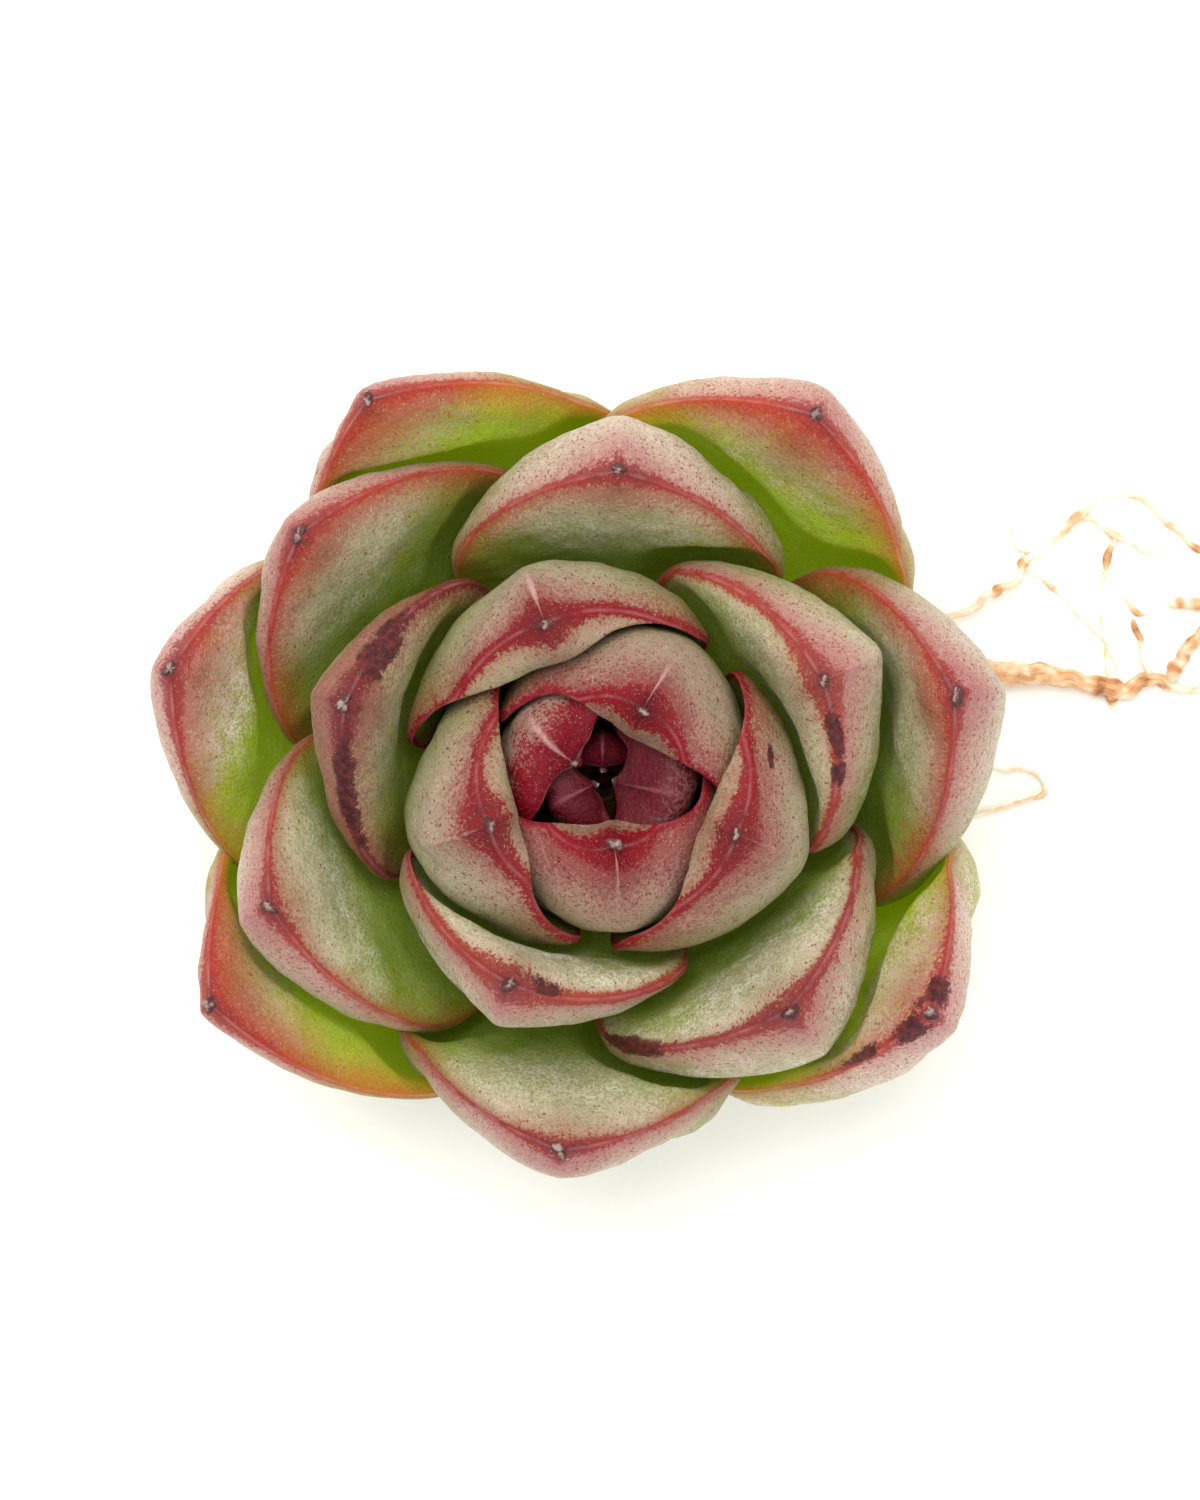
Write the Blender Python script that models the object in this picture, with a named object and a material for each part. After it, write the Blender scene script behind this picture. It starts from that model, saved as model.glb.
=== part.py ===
"""Bare-root succulent rosette: 23 thick keeled leaves in a spiral on a short stem, with trailing roots.

Lengths below are in millimetres; the bodies are written in metres with +Z up.
The rosette stands with its axis vertical, and the roots trail to +X along the surface it rests on.

Every leaf lies along a "bowl": a surface of revolution about the axis, rising from the stem to a round rim.
Bowls are nested, and a bowl is known by its rim radius. A leaf is a thickened patch of one bowl, and it is
pressed outwards wherever the leaves inside it already fill the room.
"""

import math

import bpy
import numpy as np

MM = 0.001

# --- rosette ---
GOLDEN_TURN = 137.5  # degrees from one leaf to the next
FIRST_LEAF_AZIMUTH = 91.0
RIM_RADIUS = 37.5
FIRST_SPREAD_LEAF = 2.3  # leaves up to this number stand at the axis
AGE_CURVE = 1.2  # how slowly the leaves spread from the axis at first
FULL_LEAF_WIDTH = 30.5
WIDTH_GROWTH = 4.0  # leaves over which the width comes near its full size
FULLNESS_WIDTH = 26.0  # the width from which a leaf has its full thickness
OUTER_THICKNESS = 5.4  # bulge of a full leaf's outer face
INNER_THICKNESS = 2.8  # bulge of its inner face
WIDEST_AT = 0.62  # share of the leaf's length
BASE_WIDTH_SHARE = 0.27
BASE_THICKNESS_SHARE = 0.28
YOUNG_KEEL = 0.85  # how far the outer face is a roof and not a dome
OLD_KEEL = 0.2
KEEL_ROUNDING = 0.07
HEART_LEAVES = 4  # the flattest leaves, closed over the bud
HEART_WRAP = 0.6
HEART_BEND = 14.0  # the least radius that a heart leaf is bent to
YOUNG_WRAP = 1.25  # how closely a leaf bends round the axis
OLD_WRAP = 0.75
LEAF_GAP = 0.7
PRESS_REACH = 2.6  # how far beyond its edges a leaf presses on the next
PRESS_CELLS = 3  # the least reach, in cells of the room's grid
PRESS_SOFTNESS = 0.3

# --- bowls ---
COLLAR_RADIUS = 3.9  # where the leaves leave the stem
COLLAR_TOP = 20.0
COLLAR_DEPTH = 14.0
CENTRE_HEIGHT = 38.0
CENTRE_DIP = 7.0
CENTRE_DIP_RADIUS = 4.5
RIM_DROP = 11.0
INWARD_LEAN = 16.0  # degrees past upright that the young leaves' bowls end
OUTWARD_LEAN = 22.0  # degrees short of upright that the oldest leaves' bowls end

# --- how it rests ---
ROSETTE_LIFT = 2.3  # raises the rosette until its lowest leaf nearly meets the surface

# --- the grid of the filled room ---
AZIMUTH_CELLS = 360
LENGTH_CELLS = 72
LENGTH_SPAN = 1.15

# --- the leaves' grids: rings along, points round ---
SMALL_LEAF_GRID = (12, 16)
LEAF_GRID = (15, 18)
INNER_LEAVES = 6
MIDDLE_LEAVES = 9

# Each leaf's own habit: turn (degrees), sway of its blade (degrees), reach (mm), width share, curl of its tip
# (mm), share of the outer bulge, share of its bowl covered, pointedness, swelling of the inner lip (mm)
LEAF_HABIT = {
    1: (0, 0, 1.2, 0.62, -1.2, 0.8, 0.86, 0.8, 0.0),
    2: (-2, -10, 1.2, 0.68, -1.8, 0.8, 0.86, 0.8, 0.0),
    3: (-16, -2, 0.2, 0.90, -0.7, 0.75, 0.85, 0.6, 0.8),
    4: (-18, 40, -0.1, 1.00, -0.6, 1.0, 0.87, 0.6, 0.0),
    5: (-9, 11, 0.6, 0.98, -0.4, 1.0, 1.0, 0.9, 1.1),
    6: (-2, 6, -1.0, 1.00, 0.0, 0.9, 1.0, 0.9, 1.3),
    7: (0, 8, 0.0, 0.95, 0.0, 1.1, 1.0, 0.8, 0.6),
    8: (3, 2, -0.7, 1.06, 0.0, 0.8, 1.0, 0.6, 0.6),
    9: (0, -1, -1.3, 1.00, 0.0, 0.85, 1.0, 0.8, 1.8),
    10: (-1, -3, 0.9, 0.98, 0.0, 0.8, 1.0, 0.65, 0.0),
    11: (1, -4, 0.4, 1.00, 0.0, 1.05, 1.0, 0.45, 0.0),
    12: (0, 0, -0.3, 0.95, 0.0, 0.85, 1.0, 0.45, 0.0),
    13: (8, 0, -0.4, 0.98, 0.0, 1.4, 1.0, 0.5, 0.0),
    14: (8, 1, -1.1, 0.96, 0.0, 1.25, 1.0, 0.4, 0.0),
    15: (-11, -6, 0.4, 0.96, 0.0, 1.1, 1.0, 0.3, 0.0),
    16: (16, 6, -0.1, 1.00, -1.0, 1.4, 1.0, 0.25, 0.0),
    17: (8, 3, -0.3, 1.02, 0.0, 0.9, 1.0, 0.2, 0.0),
    18: (-5, 0, -3.3, 1.04, 0.0, 1.0, 1.0, 0.3, 0.0),
    19: (16, -3, -0.4, 1.08, 0.0, 1.1, 1.0, 0.15, 0.0),
    20: (-15, -4, 0.7, 1.02, 0.0, 0.9, 1.0, 0.15, 0.0),
    21: (1, 4, -3.8, 1.00, 0.0, 1.1, 1.0, 0.2, 0.0),
    22: (15, 12, -0.9, 1.00, 0.5, 0.7, 1.0, 0.2, 0.0),
    23: (-20, -9, -1.0, 1.00, 1.0, 0.7, 1.0, 0.35, 0.0),
}

# --- bud and stem: height and radius pairs ---
BUD_PROFILE = ((21.6, 0.0), (21.8, 0.5), (23.5, 0.8), (26.0, 0.65), (28.0, 0.35), (29.2, 0.0))
STEM_PROFILE = (
    (0.3, 0.0), (0.35, 1.4), (1.4, 2.6), (3.0, 3.0), (8.0, 3.0), (14.0, 2.8), (18.0, 2.2), (20.4, 0.0)
)

# --- roots: points (x, y, lift) from the rosette's axis along each strand, then its radius at both ends ---
# A strand lies on the surface, raised by its lift. Each one begins inside the stem or an older strand.
ROOT_TAPER = 1.8
ROOTS = {
    "main_root": (
        ((0.5, 0.1, 0.3), (4.0, 1.0, 0.1), (10.0, 2.8, 0.0), (20.0, 6.0, 0.0), (30.0, 9.4, 0.2),
         (37.5, 9.7, 0.4), (43.0, 8.4, 0.3), (48.0, 9.3, 0.5), (53.0, 7.9, 0.4), (58.0, 8.9, 0.2),
         (62.5, 10.8, 0.0)),
        (2.1, 0.6),
    ),
    "end_branch": (
        ((50.0, 8.9, 0.9), (50.4, 11.4, 0.8), (51.6, 14.2, 1.0), (53.6, 16.2, 1.0), (54.4, 19.0, 0.6),
         (57.2, 21.8, 0.2)),
        (0.75, 0.4),
    ),
    "long_arc": (
        ((9.5, 2.8, 1.0), (12.8, 6.6, 0.6), (19.0, 10.2, 0.5), (25.5, 12.4, 0.9), (30.6, 13.8, 1.3),
         (34.6, 17.4, 1.0), (36.2, 19.8, 0.8), (39.0, 21.6, 0.6), (42.0, 24.6, 0.5), (45.6, 25.6, 0.4),
         (48.6, 23.8, 0.3), (51.6, 20.9, 0.2), (52.9, 19.7, 0.1)),
        (0.75, 0.4),
    ),
    "arc_fork": (
        ((41.9, 24.4, 0.5), (43.4, 22.6, 0.3), (45.2, 21.4, 0.3), (47.4, 20.6, 0.2), (49.0, 19.4, 0.1),
         (50.6, 17.6, 0.0)),
        (0.45, 0.35),
    ),
    "cross_strand": (
        ((36.3, 19.8, 0.8), (37.6, 18.6, 0.3), (39.6, 17.0, 0.2), (41.4, 15.0, 0.3), (43.4, 12.6, 0.4),
         (45.2, 9.2, 0.9)),
        (0.4, 0.45),
    ),
    "knee": (
        ((47.2, 9.2, 1.0), (47.6, 11.6, 0.5), (47.7, 13.6, 0.4), (46.4, 15.2, 0.3), (45.2, 16.8, 0.2),
         (44.6, 18.6, 0.1)),
        (0.5, 0.35),
    ),
    "loop": (
        ((27.0, 8.2, 1.0), (28.4, 5.2, 0.4), (31.0, 3.4, 0.2), (34.6, 1.8, 0.3), (37.6, 1.0, 0.4),
         (38.8, -0.4, 0.4), (37.4, -1.8, 0.3), (34.0, -2.7, 0.2), (30.5, -3.2, 0.1)),
        (0.5, 0.35),
    ),
    "under_branch": (
        ((44.2, 8.6, 0.9), (44.6, 6.4, 0.4), (46.2, 4.6, 0.3), (48.6, 4.2, 0.2), (51.0, 2.8, 0.0)),
        (0.5, 0.35),
    ),
}

# --- finishes: colour, roughness, and the sheen of the waxy bloom ---
LEAF_COLOURS = {
    "inner": (0.33, 0.05, 0.07, 1.0),
    "middle": (0.55, 0.26, 0.22, 1.0),
    "outer": (0.42, 0.50, 0.20, 1.0),
}
BUD_COLOUR = (0.22, 0.03, 0.05, 1.0)
STEM_COLOUR = (0.30, 0.22, 0.10, 1.0)
ROOT_COLOUR = (0.47, 0.24, 0.10, 1.0)


def clear_scene():
    for leftover in list(bpy.data.objects):
        bpy.data.objects.remove(leftover, do_unlink=True)


def smooth_step(t):
    t = np.clip(t, 0.0, 1.0)
    return t * t * (3.0 - 2.0 * t)


# --- the nested bowls ---


def bowl_point(along, rim):
    """Radius and height on the bowl of this rim radius, from the stem (along 0) to the rim (along 1)."""
    along, rim = np.broadcast_arrays(np.asarray(along, float), np.asarray(rim, float))
    u = np.clip(rim, 0.0, 60.0) / RIM_RADIUS
    base_r = COLLAR_RADIUS * (1.0 - np.exp(-u / 0.06))
    base_z = COLLAR_TOP - COLLAR_DEPTH * u**0.85
    top_r = rim
    top_z = CENTRE_HEIGHT - CENTRE_DIP * np.exp(-((rim / CENTRE_DIP_RADIUS) ** 2)) - RIM_DROP * u**1.8
    leaving = np.radians(90.0 - 120.0 * u**0.6)
    lean = INWARD_LEAN * np.exp(-(((u - 0.22) / 0.22) ** 2)) - OUTWARD_LEAN * smooth_step((u - 0.35) / 0.65)
    arriving = np.radians(90.0 + lean)
    chord = np.hypot(top_r - base_r, top_z - base_z)
    near_r = base_r + 0.42 * chord * np.cos(leaving)
    near_z = base_z + 0.42 * chord * np.sin(leaving)
    far_r = top_r - 0.36 * chord * np.cos(arriving)
    far_z = top_z - 0.36 * chord * np.sin(arriving)
    t = np.minimum(along, 1.0)
    m = 1.0 - t
    beyond = 3.0 * np.maximum(along - 1.0, 0.0)
    weights = (m**3, 3 * m * m * t, 3 * m * t * t, t**3)
    r = sum(w * v for w, v in zip(weights, (base_r, near_r, far_r, top_r))) + beyond * (top_r - far_r)
    z = sum(w * v for w, v in zip(weights, (base_z, near_z, far_z, top_z))) + beyond * (top_z - far_z)
    return r, z


def bowl_lie(along, rim):
    """The height of the bowl's tangent there, and the mm between bowls for each mm of rim radius."""
    step = 0.001
    r_ahead, z_ahead = bowl_point(along + step, rim)
    r_behind, z_behind = bowl_point(np.maximum(along - step, 0.0), rim)
    tangent_r = r_ahead - r_behind
    tangent_z = z_ahead - z_behind
    length = np.hypot(tangent_r, tangent_z) + 1e-12
    tangent_r = tangent_r / length
    tangent_z = tangent_z / length
    r_out, z_out = bowl_point(along, rim + 0.01)
    r_in, z_in = bowl_point(along, rim - 0.01)
    spacing = (r_out - r_in) / 0.02 * tangent_z - (z_out - z_in) / 0.02 * tangent_r
    return tangent_z, np.maximum(spacing, 0.08)


# --- the room already filled, as a rim radius for each azimuth and share of length ---


def empty_room():
    shares = np.linspace(0.0, LENGTH_SPAN, LENGTH_CELLS)
    around_bud = 0.9 * np.clip((0.9 - shares) / 0.25, 0.0, 1.0)
    return np.repeat(around_bud[None, :], AZIMUTH_CELLS, axis=0)


def widened(filled, cells):
    """The largest value within so many cells around the axis, and within a few along the leaf."""
    out = filled.copy()
    for k in range(-cells, cells + 1):
        out = np.maximum(out, np.roll(filled, k, axis=0))
    across = out.copy()
    for k in range(-PRESS_CELLS, PRESS_CELLS + 1):
        columns = np.clip(np.arange(LENGTH_CELLS) + k, 0, LENGTH_CELLS - 1)
        out = np.maximum(out, across[:, columns])
    return out


def softened(filled, cells):
    """A bell-weighted mean over the cells around each one."""
    reach = np.arange(-2 * cells, 2 * cells + 1)
    weights = np.exp(-0.5 * (reach / cells) ** 2)
    weights = weights / weights.sum()
    out = sum(w * np.roll(filled, k, axis=0) for w, k in zip(weights, reach))
    columns = np.arange(LENGTH_CELLS)
    return sum(w * out[:, np.clip(columns + k, 0, LENGTH_CELLS - 1)] for w, k in zip(weights, reach))


def filled_at(filled, azimuth, along):
    x = (azimuth / (2 * math.pi) * AZIMUTH_CELLS) % AZIMUTH_CELLS
    y = np.clip(along / LENGTH_SPAN * (LENGTH_CELLS - 1), 0.0, LENGTH_CELLS - 1.001)
    i = np.floor(x).astype(int)
    j = np.floor(y).astype(int)
    fx = x - i
    fy = y - j
    i = i % AZIMUTH_CELLS
    k = (i + 1) % AZIMUTH_CELLS
    near = filled[i, j] * (1 - fx) + filled[k, j] * fx
    far = filled[i, j + 1] * (1 - fx) + filled[k, j + 1] * fx
    return near * (1 - fy) + far * fy


# --- one leaf ---


def leaf_outline(x, pointedness):
    """Half-width along the leaf, as a share of its widest."""
    swell = np.sin(0.5 * np.pi * np.clip(x / WIDEST_AT, 0, 1)) ** 1.3
    rising = BASE_WIDTH_SHARE + (1 - BASE_WIDTH_SHARE) * swell
    y = np.clip((x - WIDEST_AT) / (1 - WIDEST_AT), 0.0, 1.0)
    falling = (1 - pointedness) * (1 - y**2.2) + pointedness * np.cos(0.5 * np.pi * y) ** 2
    return np.where(x < WIDEST_AT, rising, falling)


def leaf_thickness(x):
    """Thickness along the leaf, as a share of its thickest."""
    rising = BASE_THICKNESS_SHARE + (1 - BASE_THICKNESS_SHARE) * smooth_step(x / 0.65)
    y = np.clip((x - 0.72) / 0.28, 0.0, 1.0)
    return rising * np.sqrt(np.clip(1 - y**2.6, 0.0, 1.0))


def between(young, old, share):
    return young + (old - young) * smooth_step(share)


class Leaf:
    """One leaf, known by its number in the spiral and its own habit."""

    def __init__(self, number):
        turn, sway, reach, size, curl, belly, length, pointedness, lip = LEAF_HABIT[number]
        age = np.clip((number - FIRST_SPREAD_LEAF) / (len(LEAF_HABIT) - FIRST_SPREAD_LEAF), 0.0, 1.0)
        self.number = number
        self.azimuth = math.radians((FIRST_LEAF_AZIMUTH + GOLDEN_TURN * (number - 1) + turn) % 360)
        self.sway = math.radians(sway)
        self.rim = max(0.3, RIM_RADIUS * math.sin(0.5 * math.pi * age**AGE_CURVE) + reach)
        self.width = FULL_LEAF_WIDTH * (1 - math.exp(-number / WIDTH_GROWTH)) * size
        fullness = min(1.0, self.width / FULLNESS_WIDTH)
        self.outer = OUTER_THICKNESS * fullness * belly
        self.inner = INNER_THICKNESS * fullness
        self.curl = curl
        self.length = length
        self.pointedness = pointedness
        self.lip = lip
        self.keel = between(YOUNG_KEEL, OLD_KEEL, (number - 8) / 7)
        self.in_heart = number <= HEART_LEAVES
        self.wrap = HEART_WRAP if self.in_heart else between(YOUNG_WRAP, OLD_WRAP, (number - 5) / 9)
        self.filled = None

    def outer_bulge(self, along, across):
        """A dome crossed with a roof whose ridge is the keel."""
        dome = np.sqrt(np.clip(1 - across * across, 0.0, 1.0))
        fall = np.sqrt(across * across + KEEL_ROUNDING**2) - KEEL_ROUNDING
        ridge = 1.0 - fall / (math.sqrt(1 + KEEL_ROUNDING**2) - KEEL_ROUNDING)
        keel = self.keel * smooth_step((along - 0.3) / 0.5)
        return self.outer * leaf_thickness(along) * (dome * (1 - keel) + keel * ridge)

    def inner_bulge(self, along, across):
        """A shallow dome, with the lip that swells just under the tip."""
        flat = np.clip(1 - across * across, 0.0, 1.0)
        lip = self.lip * smooth_step((along - 0.62) / 0.2) * np.sqrt(np.clip(1 - along**6, 0.0, 1.0))
        return self.inner * leaf_thickness(along) * flat**0.55 + lip * flat**0.4

    def surface(self, along, across, outward):
        """Azimuth and bowl of points between the edges (across -1 and 1), on the outer or the inner face."""
        on_bowl = along * self.length
        radius = np.maximum(bowl_point(on_bowl, self.rim)[0], 0.8)
        rise, spacing = bowl_lie(on_bowl, self.rim)
        bend = radius / self.wrap
        if self.in_heart:
            bend = np.maximum(bend, HEART_BEND)
        half = 0.5 * self.width * leaf_outline(along, self.pointedness)
        angle = np.clip(half * across / bend, -2.6, 2.6)
        sideways = bend * np.sin(angle)
        inwards = bend * (1 - np.cos(angle))
        azimuth = self.azimuth + self.sway * (along * along - 0.3) + np.arctan2(sideways, radius - inwards)
        lift = np.hypot(sideways, radius - inwards) - radius
        middle = self.rim + lift * np.clip(rise, 0.1, 1.0) / spacing
        middle = middle + self.curl * smooth_step((along - 0.5) / 0.5) ** 2 / spacing
        face = middle - self.inner_bulge(along, across) / spacing
        needed = filled_at(self.filled, azimuth, on_bowl) + LEAF_GAP / spacing - face
        softness = PRESS_SOFTNESS / spacing
        push = 0.5 * (needed + np.sqrt(needed * needed + softness * softness))
        push = np.where(needed < -6 * softness, 0.0, push)
        share = 0.55 + 0.45 * across**6
        back = middle + self.outer_bulge(along, across) / spacing + push * share
        return azimuth, np.where(outward, back, face + push)

    def fill_room(self, filled):
        """The room filled once this leaf stands in it."""
        shares = np.linspace(0.0, LENGTH_SPAN, LENGTH_CELLS)
        along, across = np.meshgrid(shares / self.length, np.linspace(-1, 1, 121), indexing="ij")
        azimuth, bowl = self.surface(along, across, True)
        directions = np.linspace(0, 2 * math.pi, AZIMUTH_CELLS, endpoint=False)
        out = filled.copy()
        for j in np.nonzero(shares < self.length)[0]:
            for turn in (-1, 0, 1):
                reached = np.interp(directions + 2 * math.pi * turn, azimuth[j], bowl[j], left=-9, right=-9)
                out[:, j] = np.maximum(out[:, j], reached)
        return out

    def rings(self, ring_count, side_count):
        """Points on rings around the leaf from its base to its tip, in mm."""
        along = 1 - (1 - np.linspace(0, 1, ring_count)) ** 1.5
        turn = np.linspace(0, 2 * math.pi, side_count, endpoint=False)
        along, turn = np.meshgrid(along, turn, indexing="ij")
        azimuth, bowl = self.surface(along, np.cos(turn), turn > math.pi + 0.001)
        r, z = bowl_point(along * self.length, bowl)
        return np.stack([r * np.cos(azimuth), r * np.sin(azimuth), z + ROSETTE_LIFT], axis=-1)


def grown_leaves():
    filled = empty_room()
    leaves = []
    for number in LEAF_HABIT:
        leaf = Leaf(number)
        cells = round(PRESS_REACH / (2 * math.pi * max(leaf.rim, 4.0)) * AZIMUTH_CELLS)
        leaf.filled = softened(widened(filled, max(cells, PRESS_CELLS)), PRESS_CELLS)
        filled = leaf.fill_room(filled)
        leaves.append(leaf)
    return leaves


# --- bodies ---


def closed_rings(rings, first_point, last_point):
    """Vertices and faces of a tube of rings, closed by a point at each end."""
    ring_count, side_count, _ = rings.shape
    points = [tuple(first_point)] + [tuple(p) for p in rings.reshape(-1, 3)] + [tuple(last_point)]
    faces = []
    for k in range(side_count):
        nxt = (k + 1) % side_count
        faces.append((0, 1 + nxt, 1 + k))
        for j in range(ring_count - 1):
            a = 1 + j * side_count
            b = a + side_count
            faces.append((a + k, a + nxt, b + nxt, b + k))
        last = 1 + (ring_count - 1) * side_count
        faces.append((last + k, last + nxt, len(points) - 1))
    return points, faces


def add_body(name, points, faces, colour, roughness, sheen):
    mesh = bpy.data.meshes.new(name)
    mesh.from_pydata([(x * MM, y * MM, z * MM) for x, y, z in points], [], faces)
    mesh.validate()
    for polygon in mesh.polygons:
        polygon.use_smooth = True
    body = bpy.data.objects.new(name, mesh)
    bpy.context.scene.collection.objects.link(body)
    finish = bpy.data.materials.new(name + "_finish")
    finish.use_nodes = True
    shader = finish.node_tree.nodes["Principled BSDF"]
    shader.inputs["Base Color"].default_value = colour
    shader.inputs["Roughness"].default_value = roughness
    shader.inputs["Sheen Weight"].default_value = sheen
    mesh.materials.append(finish)
    return body


def add_leaf(leaf):
    small = leaf.number <= INNER_LEAVES
    ring_count, sides = SMALL_LEAF_GRID if small else LEAF_GRID
    rings = leaf.rings(ring_count, sides)
    base = (rings[0, sides // 4] + rings[0, sides * 3 // 4]) / 2
    tip = rings[-1].mean(axis=0)
    points, faces = closed_rings(rings[:-1], base, tip)
    kind = "inner" if small else "middle" if leaf.number <= MIDDLE_LEAVES else "outer"
    return add_body(f"leaf_{leaf.number:02d}", points, faces, LEAF_COLOURS[kind], 0.6, 0.3)


def add_turned(name, profile, side_count, colour):
    """A round body turned about the rosette's axis from height and radius pairs."""
    turn = np.linspace(0, 2 * math.pi, side_count, endpoint=False)
    rings = np.array([[(r * math.cos(a), r * math.sin(a), z) for a in turn] for z, r in profile[1:-1]])
    points, faces = closed_rings(rings, (0, 0, profile[0][0]), (0, 0, profile[-1][0]))
    return add_body(name, points, faces, colour, 0.7, 0.0)


def strand_path(knots, steps):
    """Points evenly along a smooth curve through the knots."""
    knots = np.asarray(knots, float)
    padded = np.vstack([2 * knots[0] - knots[1], knots, 2 * knots[-1] - knots[-2]])
    pieces = []
    t = np.linspace(0, 1, steps, endpoint=False)[:, None]
    for k in range(len(knots) - 1):
        a, b, c, d = padded[k : k + 4]
        square = (2 * a - 5 * b + 4 * c - d) * t**2
        cube = (3 * b - a - 3 * c + d) * t**3
        pieces.append(0.5 * (2 * b + (c - a) * t + square + cube))
    return np.vstack(pieces + [knots[-1][None, :]])


def add_strand(name, knots, radii, side_count, steps):
    """A tapered root with round ends along a path on the surface, as a guide for the body it is joined to."""
    path = strand_path(knots, steps)
    radius = radii[0] + (radii[1] - radii[0]) * np.linspace(0, 1, len(path)) ** ROOT_TAPER
    path[:, 2] = np.maximum(path[:, 2], 0.0) + radius
    ahead = np.gradient(path, axis=0)
    ahead = ahead / np.linalg.norm(ahead, axis=1, keepdims=True)
    sideways = np.cross((0.0, 0.0, 1.0), ahead)
    sideways = sideways / np.linalg.norm(sideways, axis=1, keepdims=True)
    upward = np.cross(ahead, sideways)
    radius[0] *= 0.6
    radius[-1] *= 0.6
    turn = np.linspace(0, 2 * math.pi, side_count, endpoint=False)[None, :, None]
    rings = path[:, None, :] + radius[:, None, None] * (
        np.cos(turn) * sideways[:, None, :] + np.sin(turn) * upward[:, None, :]
    )
    start = path[0] - ahead[0] * radius[0] * 0.4
    end = path[-1] + ahead[-1] * radius[-1] * 0.4
    points, faces = closed_rings(rings, start, end)
    strand = add_body(name + "_guide", points, faces, ROOT_COLOUR, 0.8, 0.0)
    strand.hide_render = True
    strand.display_type = "WIRE"
    return strand


def join(body, guide):
    union = body.modifiers.new("join_" + guide.name, "BOOLEAN")
    union.operation = "UNION"
    union.object = guide


def add_stem_with_roots():
    """The stem and every root, grown as one piece."""
    stem = add_turned("stem_with_roots", STEM_PROFILE, 16, STEM_COLOUR)
    guides = []
    for name, (knots, radii) in ROOTS.items():
        thick = name == "main_root"
        guides.append(add_strand(name, knots, radii, 10 if thick else 6, 2))
        join(stem, guides[-1])
    return stem, guides


def set_down(bodies):
    """Moves every vertex so that the plant rests at height zero, its box centred on the origin."""
    low = np.array([np.inf] * 3)
    high = -low
    for body in bodies:
        corners = np.array([tuple(v.co) for v in body.data.vertices])
        low = np.minimum(low, corners.min(axis=0))
        high = np.maximum(high, corners.max(axis=0))
    shift = np.array([-(low[0] + high[0]) / 2, -(low[1] + high[1]) / 2, -low[2]])
    for body in bodies:
        for vertex in body.data.vertices:
            vertex.co = (vertex.co[0] + shift[0], vertex.co[1] + shift[1], vertex.co[2] + shift[2])


def build():
    clear_scene()
    bodies = [add_leaf(leaf) for leaf in grown_leaves()]
    bodies.append(add_turned("bud", BUD_PROFILE, 12, BUD_COLOUR))
    stem, guides = add_stem_with_roots()
    set_down(bodies + [stem] + guides)


build()
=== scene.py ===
"""The looks of a bare-root succulent rosette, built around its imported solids.

Twenty-three thick, keeled leaves with red margins spiral round a short stem, and bare roots trail to +X.
Lengths are in millimetres until a mesh is written, and the frame is in metres with +Z up.
"""

from __future__ import annotations

import logging
import math
from collections.abc import Sequence
from dataclasses import dataclass, field, replace
from enum import Enum, IntEnum
from functools import cache

import bpy
import numpy as np
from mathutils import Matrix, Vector
from numpy.typing import NDArray


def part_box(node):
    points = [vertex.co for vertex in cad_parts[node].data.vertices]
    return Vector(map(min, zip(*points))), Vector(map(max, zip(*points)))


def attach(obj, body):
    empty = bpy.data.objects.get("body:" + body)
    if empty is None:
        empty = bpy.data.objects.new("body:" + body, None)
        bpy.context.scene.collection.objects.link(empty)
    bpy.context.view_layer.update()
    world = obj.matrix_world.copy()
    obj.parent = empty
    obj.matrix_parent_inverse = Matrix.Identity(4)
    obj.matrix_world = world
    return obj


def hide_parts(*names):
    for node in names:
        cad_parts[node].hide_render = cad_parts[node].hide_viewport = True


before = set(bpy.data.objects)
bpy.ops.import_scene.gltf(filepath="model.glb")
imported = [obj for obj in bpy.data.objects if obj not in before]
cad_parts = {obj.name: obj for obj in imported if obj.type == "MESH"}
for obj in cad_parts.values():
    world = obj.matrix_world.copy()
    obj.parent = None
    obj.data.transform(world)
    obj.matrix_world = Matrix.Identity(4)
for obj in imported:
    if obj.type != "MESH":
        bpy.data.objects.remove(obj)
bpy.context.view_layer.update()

Array = NDArray[np.float64]
LOG = logging.getLogger("rosette")

MM = 0.001
TURN = 2.0 * math.pi
UNREACHED = -9.0  # a bowl inside every leaf


class Slot(Enum):
    """The record's material slots."""

    LEAF_INNER = "leaf_inner"
    LEAF_MIDDLE = "leaf_middle"
    LEAF_OUTER = "leaf_outer"
    BUD = "bud"
    ROOT = "root"


class Face(Enum):
    """The two faces of a leaf: the one towards the rosette's axis, and the keeled one away from it."""

    INNER = -1
    OUTER = 1


class Seeds(IntEnum):
    """Where each kind of unevenness starts its run of seeds, one for each leaf or root."""

    COLOUR_CLOUDS = 41
    COLOUR_FLECKS = 101
    SKIN_SWELLS = 161
    POINT_CRUMPLES = 241
    ROOT_KNOTS = 341
    ROOT_WOBBLE = 371
    ROOT_LUMPS = 401
    ROOT_GRIT = 431
    POINT_SIZES = 541


# --- small tools ---


def linear(hex_colour: str) -> tuple[float, float, float, float]:
    """Turns an sRGB hex colour into linear light.

    Args:
        hex_colour: The colour as "#rrggbb".

    Returns:
        Red, green, blue and alpha, each from 0 to 1.
    """
    values = [int(hex_colour[k : k + 2], 16) / 255.0 for k in (1, 3, 5)]
    out = [v / 12.92 if v <= 0.04045 else ((v + 0.055) / 1.055) ** 2.4 for v in values]
    return (out[0], out[1], out[2], 1.0)


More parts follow.
